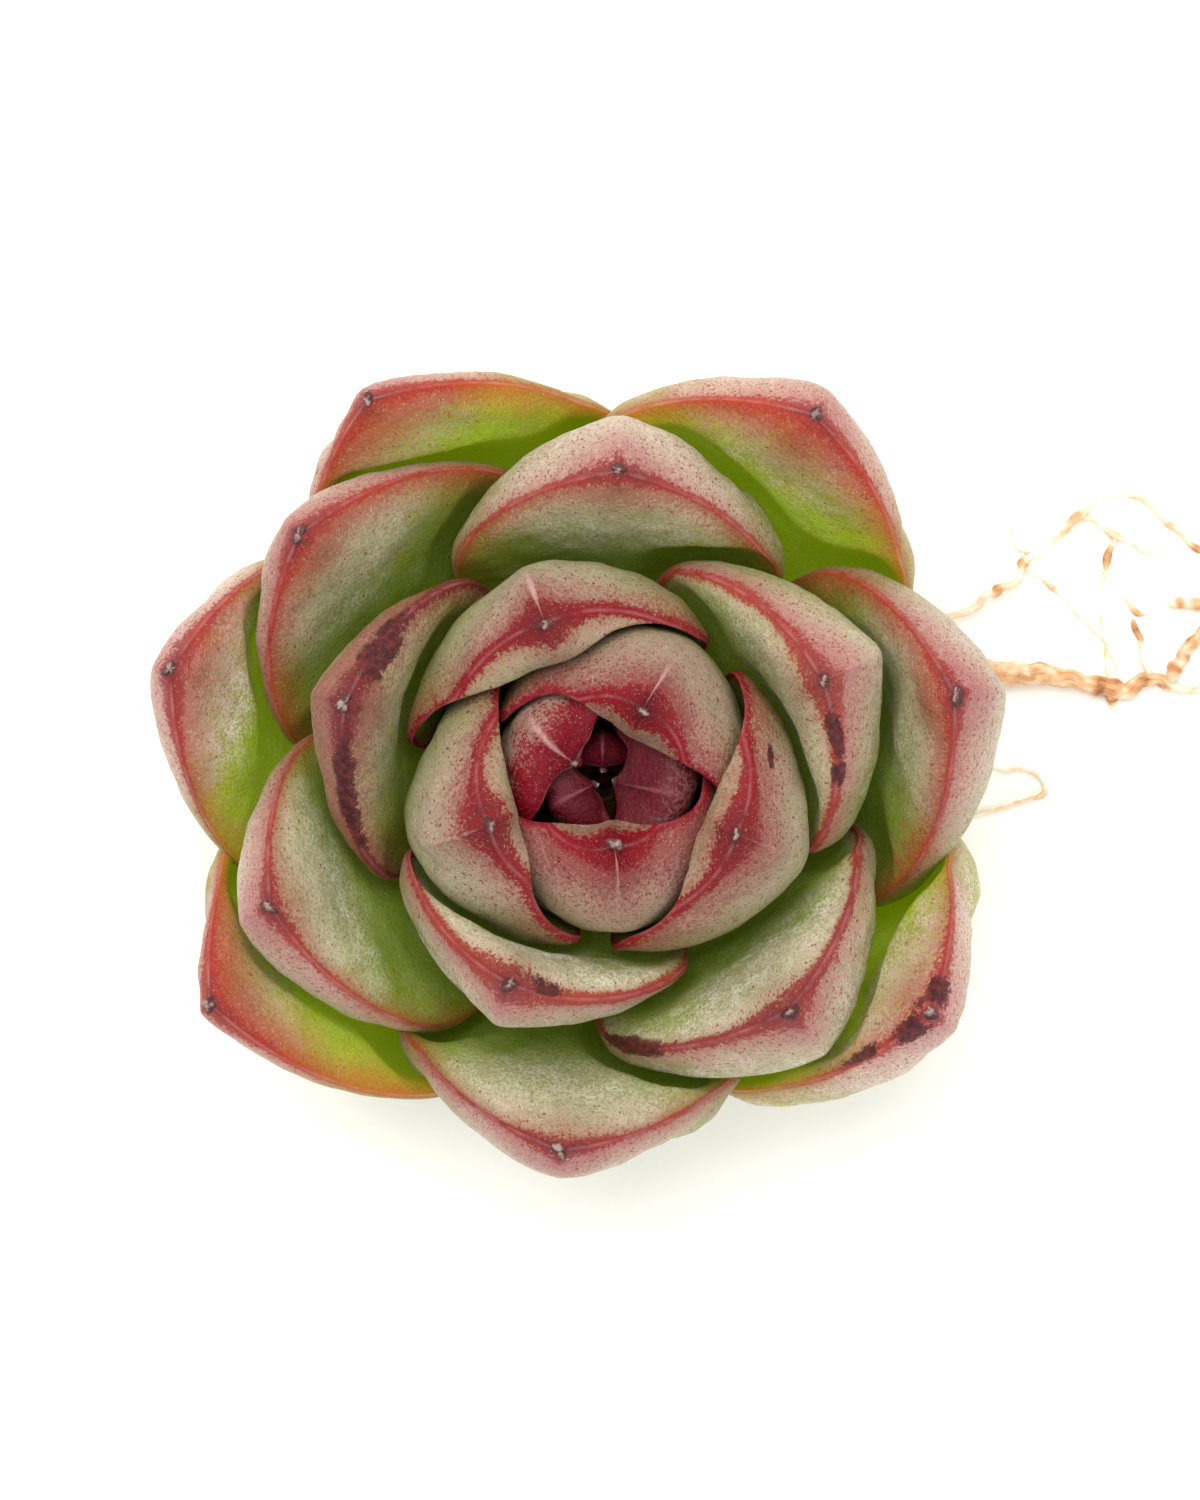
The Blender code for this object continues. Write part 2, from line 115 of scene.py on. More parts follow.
def smooth_step(t: Array) -> Array:
    """3t^2 - 2t^3 with t held between 0 and 1."""
    t = np.clip(t, 0.0, 1.0)
    return t * t * (3.0 - 2.0 * t)


def bell(distance: Array, width: float) -> Array:
    """exp(-(distance / width)^2)."""
    return np.exp(-((distance / width) ** 2))


def waves(points: Array, size: float, seed: int, layers: int = 3) -> Array:
    """Soft unevenness in space: a sum of sines along random directions, each layer half the size of the last.

    Args:
        points: Points in mm, with x, y, z last.
        size: The length of the longest wave in mm.
        seed: Which unevenness.
        layers: How many sizes of wave.

    Returns:
        One value for each point, mostly between -1 and 1.
    """
    draw = np.random.default_rng(seed)
    total = np.zeros(points.shape[:-1])
    for layer in range(layers):
        directions = draw.normal(size=(5, 3))
        directions /= np.linalg.norm(directions, axis=1, keepdims=True)
        phases = draw.uniform(0, TURN, 5)
        angle = points @ directions.T * (TURN / (size / 2**layer)) + phases
        total += np.sin(angle).sum(axis=-1) / 2.5 / 2**layer
    return total / 1.4


def grid_faces(rows: int, sides: int, first: int = 0) -> list[tuple[int, ...]]:
    """Faces of a tube of rings whose ends are closed by a point each.

    The points are numbered: the start point, the rings one after another, then the end point.

    Args:
        rows: The number of rings.
        sides: The points on a ring.
        first: The number of the start point.

    Returns:
        Quads between the rings and triangles at the two ends, all facing out.
    """
    k = np.arange(sides)
    after = (k + 1) % sides
    start = np.stack([np.full(sides, first), first + 1 + after, first + 1 + k], axis=1)
    row = first + 1 + np.arange(rows - 1)[:, None] * sides
    quads = np.stack([row + k, row + after, row + sides + after, row + sides + k], axis=-1).reshape(-1, 4)
    last = first + 1 + (rows - 1) * sides
    end = np.stack([last + k, last + after, np.full(sides, first + 1 + rows * sides)], axis=1)
    return [tuple(f) for f in start.tolist() + quads.tolist() + end.tolist()]


@dataclass
class Surface:
    """A closed surface being gathered: points in mm, faces, and one value or vector for each point."""

    points: list[Array] = field(default_factory=list)
    faces: list[tuple[int, ...]] = field(default_factory=list)
    values: dict[str, list[Array]] = field(default_factory=dict)
    finishes: list[int] = field(default_factory=list)
    count: int = 0

    def add_tube(
        self, rings: Array, start: Array, end: Array, values: dict[str, Array], finish: int = 0
    ) -> None:
        """Adds a tube of rings closed by a point at each end.

        Args:
            rings: Points by ring, side and x, y, z, in mm.
            start: The point that closes the first ring.
            end: The point that closes the last ring.
            values: For each attribute, values by ring and side, with x, y, z last for a vector.
            finish: The number of the tube's material.
        """
        rows, sides, _ = rings.shape
        self.points.append(np.vstack([start[None], rings.reshape(-1, 3), end[None]]))
        new = grid_faces(rows, sides, self.count)
        self.faces += new
        self.finishes += [finish] * len(new)
        self.count += rows * sides + 2
        for name, value in values.items():
            flat = value.reshape((rows * sides,) + value.shape[2:])
            first = value[0].mean(axis=0)[None]
            last = value[-1].mean(axis=0)[None]
            self.values.setdefault(name, []).append(np.concatenate([first, flat, last]))

    def piece(
        self, name: str, materials: list[bpy.types.Material], slot: Slot, *nodes: str
    ) -> bpy.types.Object:
        """Writes the surface as a piece that rides on the plant and stands for some of its solids.

        Args:
            name: The piece's name.
            materials: Its materials, numbered as add_tube's finish.
            slot: The record's slot: not used.
            nodes: The solids that it stands for.

        Returns:
            The new object.
        """
        mesh = bpy.data.meshes.new(name)
        mesh.from_pydata((np.vstack(self.points) * MM).tolist(), [], self.faces)
        mesh.polygons.foreach_set("use_smooth", [True] * len(self.faces))
        mesh.polygons.foreach_set("material_index", self.finishes)
        for key, parts in self.values.items():
            value = np.concatenate(parts)
            vector = value.ndim == 2
            attribute = mesh.attributes.new(key, "FLOAT_VECTOR" if vector else "FLOAT", "POINT")
            attribute.data.foreach_set("vector" if vector else "value", value.astype(np.float32).ravel())
        for material in materials:
            mesh.materials.append(material)
        mesh.update()
        made = bpy.data.objects.new(name, mesh)
        bpy.context.scene.collection.objects.link(made)
        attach(made, "root")
        if nodes:
            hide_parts(*nodes)
        LOG.info("%s: %d points, %d faces", name, self.count, len(self.faces))
        return made


@dataclass
class Shader:
    """A material's node tree, with the one function that adds a node."""

    name: str
    material: bpy.types.Material = field(init=False)

    def __post_init__(self) -> None:
        """Makes the material with its Principled shader."""
        self.material = bpy.data.materials.new(self.name)
        self.material.use_nodes = True
        self.principled = self.material.node_tree.nodes["Principled BSDF"]

    def add(
        self,
        kind: str,
        sockets: Sequence[object] | dict[str | int, object] = (),
        out: str | int = 0,
        stops: tuple[tuple[float, str], ...] = (),
        **settings: object,
    ) -> bpy.types.NodeSocket:
        """Adds a node with its settings and links.

        Args:
            kind: The node's type without its ShaderNode prefix.
            sockets: What feeds its inputs, in their order, or by name or number: values and outputs.
            out: The output that is wanted, by name or number.
            stops: The places and hex colours of a colour ramp.
            settings: Its properties.

        Returns:
            That output.
        """
        node = self.material.node_tree.nodes.new("ShaderNode" + kind)
        for key, value in settings.items():
            setattr(node, key, value)
        for key, value in sockets.items() if isinstance(sockets, dict) else enumerate(sockets):
            self.feed(node.inputs[key], value)
        for _ in stops[2:]:
            node.color_ramp.elements.new(0.5)
        for k, (place, colour) in enumerate(stops):
            node.color_ramp.elements[k].position = place
            node.color_ramp.elements[k].color = linear(colour)
        return node.outputs[out]

    def feed(self, socket: bpy.types.NodeSocket, value: object) -> None:
        """Links an output to a socket, or sets the socket's value.

        Args:
            socket: The socket that is fed.
            value: What feeds it.
        """
        if isinstance(value, bpy.types.NodeSocket):
            self.material.node_tree.links.new(value, socket)
        else:
            socket.default_value = value

    def dress(self, **inputs: object) -> None:
        """Feeds the Principled shader's sockets, named with _ for a space."""
        for key, value in inputs.items():
            self.feed(self.principled.inputs[key.replace("_", " ")], value)

    def place_in_mm(self) -> bpy.types.NodeSocket:
        """The place on the piece in mm, which patterns lie over."""
        metres = self.add("TexCoord", out="Object")
        return self.add("VectorMath", {"Vector": metres, "Scale": 1 / MM}, operation="SCALE")

    def stirred(self, value: object, pattern: object, amount: float) -> bpy.types.NodeSocket:
        """A value moved up and down by a pattern that swings about a half.

        Args:
            value: The value.
            pattern: The pattern, from 0 to 1.
            amount: How far the pattern's whole swing moves the value.

        Returns:
            The value plus amount times the pattern less a half.
        """
        swing = self.add("Math", (pattern, 0.5), operation="SUBTRACT")
        return self.add("Math", (swing, amount, value), operation="MULTIPLY_ADD")

    def laid(self, under: object, over: object, *shares: object) -> bpy.types.NodeSocket:
        """Lays a colour over another.

        Args:
            under: The colour beneath, as hex or an output.
            over: The colour laid on it.
            shares: How fully it covers: the product of these, from 0 to 1.

        Returns:
            The mixed colour.
        """
        share = shares[0]
        for more in shares[1:]:
            share = self.add("Math", (share, more), operation="MULTIPLY")
        both = [linear(colour) if isinstance(colour, str) else colour for colour in (under, over)]
        return self.add("Mix", {0: share, 6: both[0], 7: both[1]}, out=2, data_type="RGBA")

    def bumps(self, *layers: tuple[object, float, float]) -> None:
        """Lays bump layers on the shader.

        Args:
            layers: For each, its height, its strength and its depth in mm.
        """
        normal: dict[str | int, object] = {}
        for height, strength, depth in layers:
            lit = {"Height": height, "Strength": strength, "Distance": depth * MM, **normal}
            normal = {"Normal": self.add("Bump", lit)}
        self.feed(self.principled.inputs["Normal"], normal["Normal"])


# --- finishes ---


SMOOTH = {"interpolation_type": "SMOOTHSTEP"}  # for a smooth rise from 0 to 1 between two values


@dataclass(frozen=True)
class Grain:
    """A grained pattern: the size of its grain in mm, its levels of finer detail, and their strength."""

    size: float
    detail: float
    rough: float

    def over(self, place: object) -> dict[str | int, object]:
        """What feeds a noise that lies over this place."""
        return {"Vector": place, "Scale": 1.0 / self.size, "Detail": self.detail, "Roughness": self.rough}


# pale flecks, partly wax and partly painted glints
WAX_FLECKS_AND_GLINTS = Grain(0.17, 1.0, 0.5)
DOT_DRIFT = Grain(1.0 / 3.0, 2.0, 0.5)  # shakes the dots out of line
SKIN_CELLS = Grain(0.3, 2.0, 0.6)  # real cells are 0.05 mm: drawn coarser to show
CELL_CLUSTERS = Grain(0.6, 2.0, 0.7)
RED_STREAKS = Grain(0.9, 3.0, 0.6)
BLOOM_PATCHES = Grain(1.7, 3.0, 0.6)
FLESH_CLOUDS = Grain(6.0, 2.0, 0.5)
DRIED_CRUMPLE = Grain(0.22, 4.0, 0.65)
BARK_WRINKLES = Grain(0.35, 3.0, 0.6)
BARK_PATCHES_AND_HIGHLIGHTS = Grain(2.4, 3.0, 0.6)
PAPER_FIBRES = Grain(0.8, 3.0, 0.6)

# where each layer of a skin sets in and where it is full, on its own pattern's scale
STIPPLE_EDGE = (0.4, 0.56)
BLOOM_EDGE = (0.2, 0.8)
BLOOM_WEAR = (0.42, 0.62)
BLUSH_EDGE = (0.1, 1.2)
BLUSH_GRAINS = (0.45, 0.85)
BAND_EDGE = (-0.1, 0.5)
STREAK_EDGE = (0.38, 0.62)
DOT_EDGE = (-0.02, 0.16)
FLECK_EDGE = (0.62, 0.76)
THREAD_WEAR = (0.25, 0.7)
KEEL_WEAR = (0.1, 0.6)
SCAR_EDGE = (0.42, 0.7)
CORK_EDGE = (0.35, 0.7)

STREAK_STRETCH = (1.0, 3.4, 1.0)  # closes the pattern up along the margin, so streaks run inwards
WRINKLE_STRETCH = (1.0, 0.22, 1.0)  # draws the wrinkles out along the root
DOT_SPACING = 0.33  # mm
DOT_SHAKE = (0.5, 0.5, 0.5)  # mm
LEAF_VALUES = (
    "outer", "green", "bloom", "flush", "tan", "warm", "fading",
    "red", "tip", "dots", "edge", "thread", "keel", "scar",
)


class LeafPatterns:
    """The point values and the patterns that every layer of a leaf's skin reads."""

    def __init__(self, shader: Shader) -> None:
        """Adds their nodes.

        Args:
            shader: The skin's shader.
        """
        self.place = shader.place_in_mm()
        blade = shader.add("Attribute", out="Vector", attribute_name="blade")
        stretched = shader.add("Mapping", {"Vector": blade, "Scale": STREAK_STRETCH})
        self.cells = shader.add("TexNoise", SKIN_CELLS.over(self.place))
        self.clusters = shader.add("TexNoise", CELL_CLUSTERS.over(self.place))
        self.patches = shader.add("TexNoise", BLOOM_PATCHES.over(self.place))
        self.clouds = shader.add("TexNoise", FLESH_CLOUDS.over(self.place))
        self.flecks = shader.add("TexNoise", WAX_FLECKS_AND_GLINTS.over(self.place))
        self.streaks = shader.add("TexNoise", RED_STREAKS.over(stretched))
        self.at = {name: shader.add("Attribute", out="Fac", attribute_name=name) for name in LEAF_VALUES}


@dataclass(frozen=True)
class LeafFinish:
    """Living succulent leaf: watery flesh under a thin skin with a powdery wax bloom.

    The bloom makes it matte and pale, the flesh glows yellow-green where light comes through, partly by
    subsurface scattering and partly as painted glow, and the margins, the tip and scattered dots are stained
    red by the sun.
    """

    name: str
    # the flesh ramp's saturated yellow-green deep end is partly the flesh's own colour and partly painted
    # glow of light let through the leaf
    flesh: tuple[tuple[float, str], ...]  # by the value green, from the margins to the leaf's depth
    crimson: str  # red of the margins in the shade of other leaves
    scarlet: str  # red of the margins in full sun
    deep: str  # red at the very tip
    outer_flush: str  # the blush between the red and the cream on the outer face
    inner_flush: str
    dot: str
    line: str  # the pale thread along the margin itself, partly its own pale edge and partly a painted highlight on the bead
    bloom: str
    bloom_share: float
    scar: str = "#2c0b0f"
    scar_light: str = "#5e2024"
    # the pale keel line: partly its own colour and partly a painted highlight on the ridge
    keel: str = "#cfa9a8"
    keel_share: float = 0.5
    glow: float = 0.15
    glow_depth: float = 0.7  # mm
    glow_colours: tuple[float, float, float] = (0.9, 1.0, 0.25)  # how far red, green and blue light wander
    painted_glow_colour: str = "#b4d600"  # painted glow: a colour the flesh gives off itself, standing in for light that comes through it from behind
    # strength of the painted glow
    painted_glow_strength: float = 0.0
    band_share: float = 0.95  # how fully the red band covers
    inner_mottle: str = "#74702f"  # olive
    outer_mottle: str = "#8c5a50"  # brownish pink
    mottle_share: float = 0.42
    tan: str = "#7c4032"
    tan_share: float = 0.75
    blush_share: float = 0.42  # how much of the blush is even and not in grains
    grain_share: float = 0.66
    # pale flecks: partly wax, partly painted glints
    fleck: str = "#e2dac6"
    fleck_share: float = 0.2
    edge_share: float = 0.8
    line_share: float = 0.32
    scar_share: float = 0.92
    roughness: float = 0.5
    skin_ior: float = 1.4
    specular: float = 0.3

    @cache
    def material(self) -> bpy.types.Material:
        """Builds the material layer by layer, from the flesh out to the scars.

        Returns:
            The finished material.
        """
        shader = Shader(self.name)
        skin = LeafPatterns(shader)
        colour = self.bloomed(shader, skin, self.mottled(shader, skin))
        colour = self.blushed(shader, skin, colour)
        colour, dark = self.reddened(shader, skin, colour)
        colour = self.dotted(shader, skin, colour)
        colour = self.lined(shader, skin, colour, dark)
        colour, scarred = self.scarred(shader, skin, colour)
        shader.dress(
            Base_Color=colour,
            Roughness=self.roughness,
            IOR=self.skin_ior,
            Specular_IOR_Level=self.specular,
            Subsurface_Weight=self.glow,
            Subsurface_Radius=self.glow_colours,
            Subsurface_Scale=self.glow_depth * MM,
        )
        # painted glow: the deepest flesh gives off yellow-green light of its own, standing in for light let
        # through the leaf
        if self.painted_glow_strength > 0:
            deepest = shader.add("Math", (skin.at["green"], 2.0), operation="POWER")
            through = shader.add("Math", (deepest, self.painted_glow_strength), operation="MULTIPLY")
            shader.dress(Emission_Color=linear(self.painted_glow_colour), Emission_Strength=through)
        shader.bumps(
            (skin.cells, 0.8, 0.08),
            (skin.clusters, 0.5, 0.1),
            (skin.streaks, 0.3, 0.12),
            (skin.patches, 0.3, 0.2),
            (scarred, 0.6, 0.15),
        )
        return shader.material

    def mottled(self, shader: Shader, skin: LeafPatterns) -> bpy.types.NodeSocket:
        """The flesh, a little uneven from place to place, with clusters of darker cells.

        Args:
            shader: The skin's shader.
            skin: Its patterns.

        Returns:
            The colour so far.
        """
        depth = shader.stirred(skin.at["green"], skin.patches, 0.25)
        depth = shader.stirred(depth, skin.clouds, 0.35)
        depth = shader.stirred(depth, skin.cells, 0.3)
        colour = shader.add("ValToRGB", (depth,), stops=self.flesh)
        clusters = shader.stirred(skin.cells, skin.clusters, 0.6)
        between = shader.add("MapRange", (clusters, *STIPPLE_EDGE), **SMOOTH)
        stippled = shader.add("Math", (1.0, between), operation="SUBTRACT")
        shade = shader.laid(self.inner_mottle, self.outer_mottle, skin.at["outer"])
        return shader.laid(colour, shade, stippled, self.mottle_share)

    def bloomed(self, shader: Shader, skin: LeafPatterns, colour: object) -> bpy.types.NodeSocket:
        """The colour under its powdery bloom, thicker in patches and worn to a fine grain.

        Args:
            shader: The skin's shader.
            skin: Its patterns.
            colour: The colour beneath.

        Returns:
            The colour so far.
        """
        patched = shader.add("MapRange", (skin.patches, *BLOOM_EDGE), **SMOOTH)
        grained = shader.add("MapRange", (skin.cells, *BLOOM_WEAR), **SMOOTH)
        grained = shader.add("Math", (grained, 1.1, 0.3), operation="MULTIPLY_ADD")
        share = shader.add("Math", (patched, skin.at["bloom"]), operation="MULTIPLY")
        share = shader.add("Math", (share, grained), operation="MULTIPLY")
        share = shader.add("Math", (share, self.bloom_share), operation="MULTIPLY", use_clamp=True)
        return shader.laid(colour, self.bloom, share)

    def blushed(self, shader: Shader, skin: LeafPatterns, colour: object) -> bpy.types.NodeSocket:
        """The colour under the blush, which runs in from the margin in streaks and breaks into grains.

        Args:
            shader: The skin's shader.
            skin: Its patterns.
            colour: The colour beneath.

        Returns:
            The colour so far.
        """
        shade = shader.laid(self.inner_flush, self.outer_flush, skin.at["outer"])
        shade = shader.laid(shade, self.tan, skin.at["tan"])
        streaked = shader.stirred(skin.at["flush"], skin.streaks, 0.4)
        even = shader.add("MapRange", (streaked, *BLUSH_EDGE), **SMOOTH)
        colour = shader.laid(colour, shade, even, self.blush_share)
        broken = shader.stirred(skin.at["flush"], skin.cells, 3.0)
        broken = shader.stirred(broken, skin.patches, 0.9)
        grains = shader.add("MapRange", (broken, *BLUSH_GRAINS), **SMOOTH)
        return shader.laid(colour, shader.laid(shade, self.dot, 0.45), grains, self.grain_share)

    def reddened(self, shader: Shader, skin: LeafPatterns, colour: object) -> tuple[object, object]:
        """The colour under the margin's red, which fades evenly inwards behind a band ragged to single cells.

        Args:
            shader: The skin's shader.
            skin: Its patterns.
            colour: The colour beneath.

        Returns:
            The reddened colour, and the dark red of the tip.
        """
        stain = shader.laid(self.crimson, self.scarlet, skin.at["warm"])
        stain = shader.laid(stain, self.deep, skin.at["tan"], self.tan_share)
        swing = shader.add("Math", (skin.streaks, 0.5), operation="SUBTRACT")
        swing = shader.stirred(swing, skin.cells, 0.8)
        fading = skin.at["fading"]
        reach = shader.add("Math", (fading, 0.8), operation="MULTIPLY")
        faded = shader.add("Math", (swing, reach, fading), operation="MULTIPLY_ADD", use_clamp=True)
        colour = shader.laid(colour, stain, faded)
        ragged = shader.stirred(skin.at["red"], skin.streaks, 1.5)
        ragged = shader.stirred(ragged, skin.cells, 1.7)
        band = shader.add("MapRange", (ragged, *BAND_EDGE), **SMOOTH)
        dark = shader.laid(stain, self.deep, skin.at["tip"])
        streaked = shader.add("MapRange", (skin.streaks, *STREAK_EDGE), **SMOOTH)
        lively = shader.laid(dark, stain, streaked)
        return shader.laid(colour, lively, band, self.band_share), dark

    def dotted(self, shader: Shader, skin: LeafPatterns, colour: object) -> bpy.types.NodeSocket:
        """The colour with red dots 0.13 to 0.3 mm across, and with pale flecks that are partly wax and partly
        painted glints.

        Args:
            shader: The skin's shader.
            skin: Its patterns.
            colour: The colour beneath.

        Returns:
            The colour so far.
        """
        drift = shader.add("TexNoise", DOT_DRIFT.over(skin.place), out="Color")
        shaken = shader.add("VectorMath", (drift, DOT_SHAKE, skin.place), operation="MULTIPLY_ADD")
        spot = shader.add("TexVoronoi", {"Vector": shaken, "Scale": 1.0 / DOT_SPACING}, out="Color")
        chance = shader.add("SeparateColor", (spot,)).node.outputs
        drawn = shader.add("Math", (chance[0], skin.at["dots"]), operation="LESS_THAN")
        radius = shader.add("Math", (chance[1], 0.3, 0.2), operation="MULTIPLY_ADD")
        inside = shader.add("Math", (radius, spot.node.outputs["Distance"]), operation="SUBTRACT")
        disc = shader.add("MapRange", (inside, *DOT_EDGE), **SMOOTH)
        strength = shader.add("Math", (chance[2], 0.5, 0.4), operation="MULTIPLY_ADD")
        colour = shader.laid(colour, self.dot, drawn, disc, strength)
        # pale flecks, partly wax and partly painted glints
        flecks = shader.add("MapRange", (skin.flecks, *FLECK_EDGE), **SMOOTH)
        return shader.laid(colour, self.fleck, flecks, self.fleck_share)

    def lined(self, shader: Shader, skin: LeafPatterns, colour: object, dark: object) -> bpy.types.NodeSocket:
        """The colour with the margin's dark edge and pale thread, and the pale line along the keel, both
        partly painted highlights.

        Args:
            shader: The skin's shader.
            skin: Its patterns.
            colour: The colour beneath.
            dark: The margin's darkest red.

        Returns:
            The colour so far.
        """
        colour = shader.laid(colour, dark, skin.at["edge"], self.edge_share)
        # the pale thread: partly the margin's own pale edge and partly a painted highlight on its bead
        worn = shader.add("MapRange", (skin.patches, *THREAD_WEAR), **SMOOTH)
        colour = shader.laid(colour, self.line, skin.at["thread"], worn, self.line_share)
        # the pale keel line: partly its own colour and partly a painted highlight on the ridge
        rubbed = shader.add("MapRange", (skin.patches, *KEEL_WEAR), **SMOOTH)
        return shader.laid(colour, self.keel, skin.at["keel"], rubbed, self.keel_share)

    def scarred(self, shader: Shader, skin: LeafPatterns, colour: object) -> tuple[object, object]:
        """The colour with its old corky scars.

        Args:
            shader: The skin's shader.
            skin: Its patterns.
            colour: The colour beneath.

        Returns:
            The scarred colour, and how far each place is scarred.
        """
        ragged = shader.stirred(skin.at["scar"], skin.patches, 1.2)
        ragged = shader.stirred(ragged, skin.cells, 0.6)
        scarred = shader.add("MapRange", (ragged, *SCAR_EDGE), **SMOOTH)
        lighter = shader.add("MapRange", (skin.clusters, *CORK_EDGE), **SMOOTH)
        cork = shader.laid(self.scar, self.scar_light, lighter)
        return shader.laid(colour, cork, scarred, self.scar_share), scarred


@dataclass(frozen=True)
class DriedPointFinish:
    """The leaf's dried point: dead brown skin, crumpled and bleached grey-white at its end."""

    name: str = "dried_leaf_point"
    stops: tuple[tuple[float, str], ...] = (
        (0.0, "#5c101c"),
        (0.3, "#3a1210"),
        (0.68, "#55302a"),
        (0.97, "#978078"),
    )
    roughness: float = 0.75

    @cache
    def material(self) -> bpy.types.Material:
        """Builds the material from the value dry, with a crumpled grain of about 0.2 mm.

        Returns:
            The finished material.
        """
        shader = Shader(self.name)
        crumple = shader.add("TexNoise", DRIED_CRUMPLE.over(shader.place_in_mm()))
        dry = shader.stirred(shader.add("Attribute", out="Fac", attribute_name="dry"), crumple, 1.0)
        shader.dress(Base_Color=shader.add("ValToRGB", (dry,), stops=self.stops), Roughness=self.roughness)
        shader.bumps((crumple, 0.7, 0.12))
        return shader.material


@dataclass(frozen=True)
class RootFinish:
    """Dry root bark: thin, papery, orange-brown and wrinkled along its length, darker at the knots, with
    near-white patches that are partly painted highlight.
    """

    name: str = "dry_root_bark"
    # the palest stops, which the patches reach, are partly painted highlight on the lit bark
    stops: tuple[tuple[float, str], ...] = (
        (0.0, "#6b4023"),
        (0.25, "#ab7443"),
        (0.5, "#d8a678"),
        (0.75, "#ecd0b0"),
        (1.0, "#faf0e4"),
    )
    usual_tone: float = 0.56  # place on the stops
    knot_tone: float = -0.42
    fine_root_tone: float = 0.34  # thin roots are paler
    roughness: float = 0.72
    glow: float = 0.1
    glow_depth: float = 0.4  # mm

    @cache
    def material(self) -> bpy.types.Material:
        """Builds the material: wrinkles along the strand, patches that are partly painted highlight, dark
        knots and pale fine roots.

        Returns:
            The finished material.
        """
        shader = Shader(self.name)
        strand = shader.add("Attribute", out="Vector", attribute_name="strand")
        stretched = shader.add("Mapping", {"Vector": strand, "Scale": WRINKLE_STRETCH})
        wrinkles = shader.add("TexNoise", BARK_WRINKLES.over(stretched))
        patches = shader.add("TexNoise", BARK_PATCHES_AND_HIGHLIGHTS.over(strand))
        tone = shader.stirred(self.usual_tone, wrinkles, 0.4)
        # the patches, partly painted highlight, lift the tone towards the palest stops
        tone = shader.stirred(tone, patches, 1.3)
        for name, change in (("knot", self.knot_tone), ("fine_root", self.fine_root_tone)):
            share = shader.add("Attribute", out="Fac", attribute_name=name)
            tone = shader.add("Math", (share, change, tone), operation="MULTIPLY_ADD")
        shader.dress(
            Base_Color=shader.add("ValToRGB", (tone,), stops=self.stops),
            Roughness=self.roughness,
            Subsurface_Weight=self.glow,
            Subsurface_Scale=self.glow_depth * MM,
        )
        shader.bumps((wrinkles, 0.5, 0.1), (patches, 0.5, 0.25))
        return shader.material


@dataclass(frozen=True)
class StageFinish:
    """Matt white paper sweep: soft, plain and bright, with the faintest fibre unevenness."""

    name: str = "matt_white_paper"
    hollow: str = "#f7f6ee"
    fibre: str = "#fbfaf3"
    roughness: float = 0.9

    @cache
    def material(self) -> bpy.types.Material:
        """Builds the material with a barely seen paper grain of 0.8 mm.

        Returns:
            The finished material.
        """
        shader = Shader(self.name)
        grain = shader.add("TexNoise", PAPER_FIBRES.over(shader.place_in_mm()))
        shader.dress(Base_Color=shader.laid(self.hollow, self.fibre, grain), Roughness=self.roughness)
        shader.bumps((grain, 0.1, 0.02))
        return shader.material


# --- the rosette's shape ---


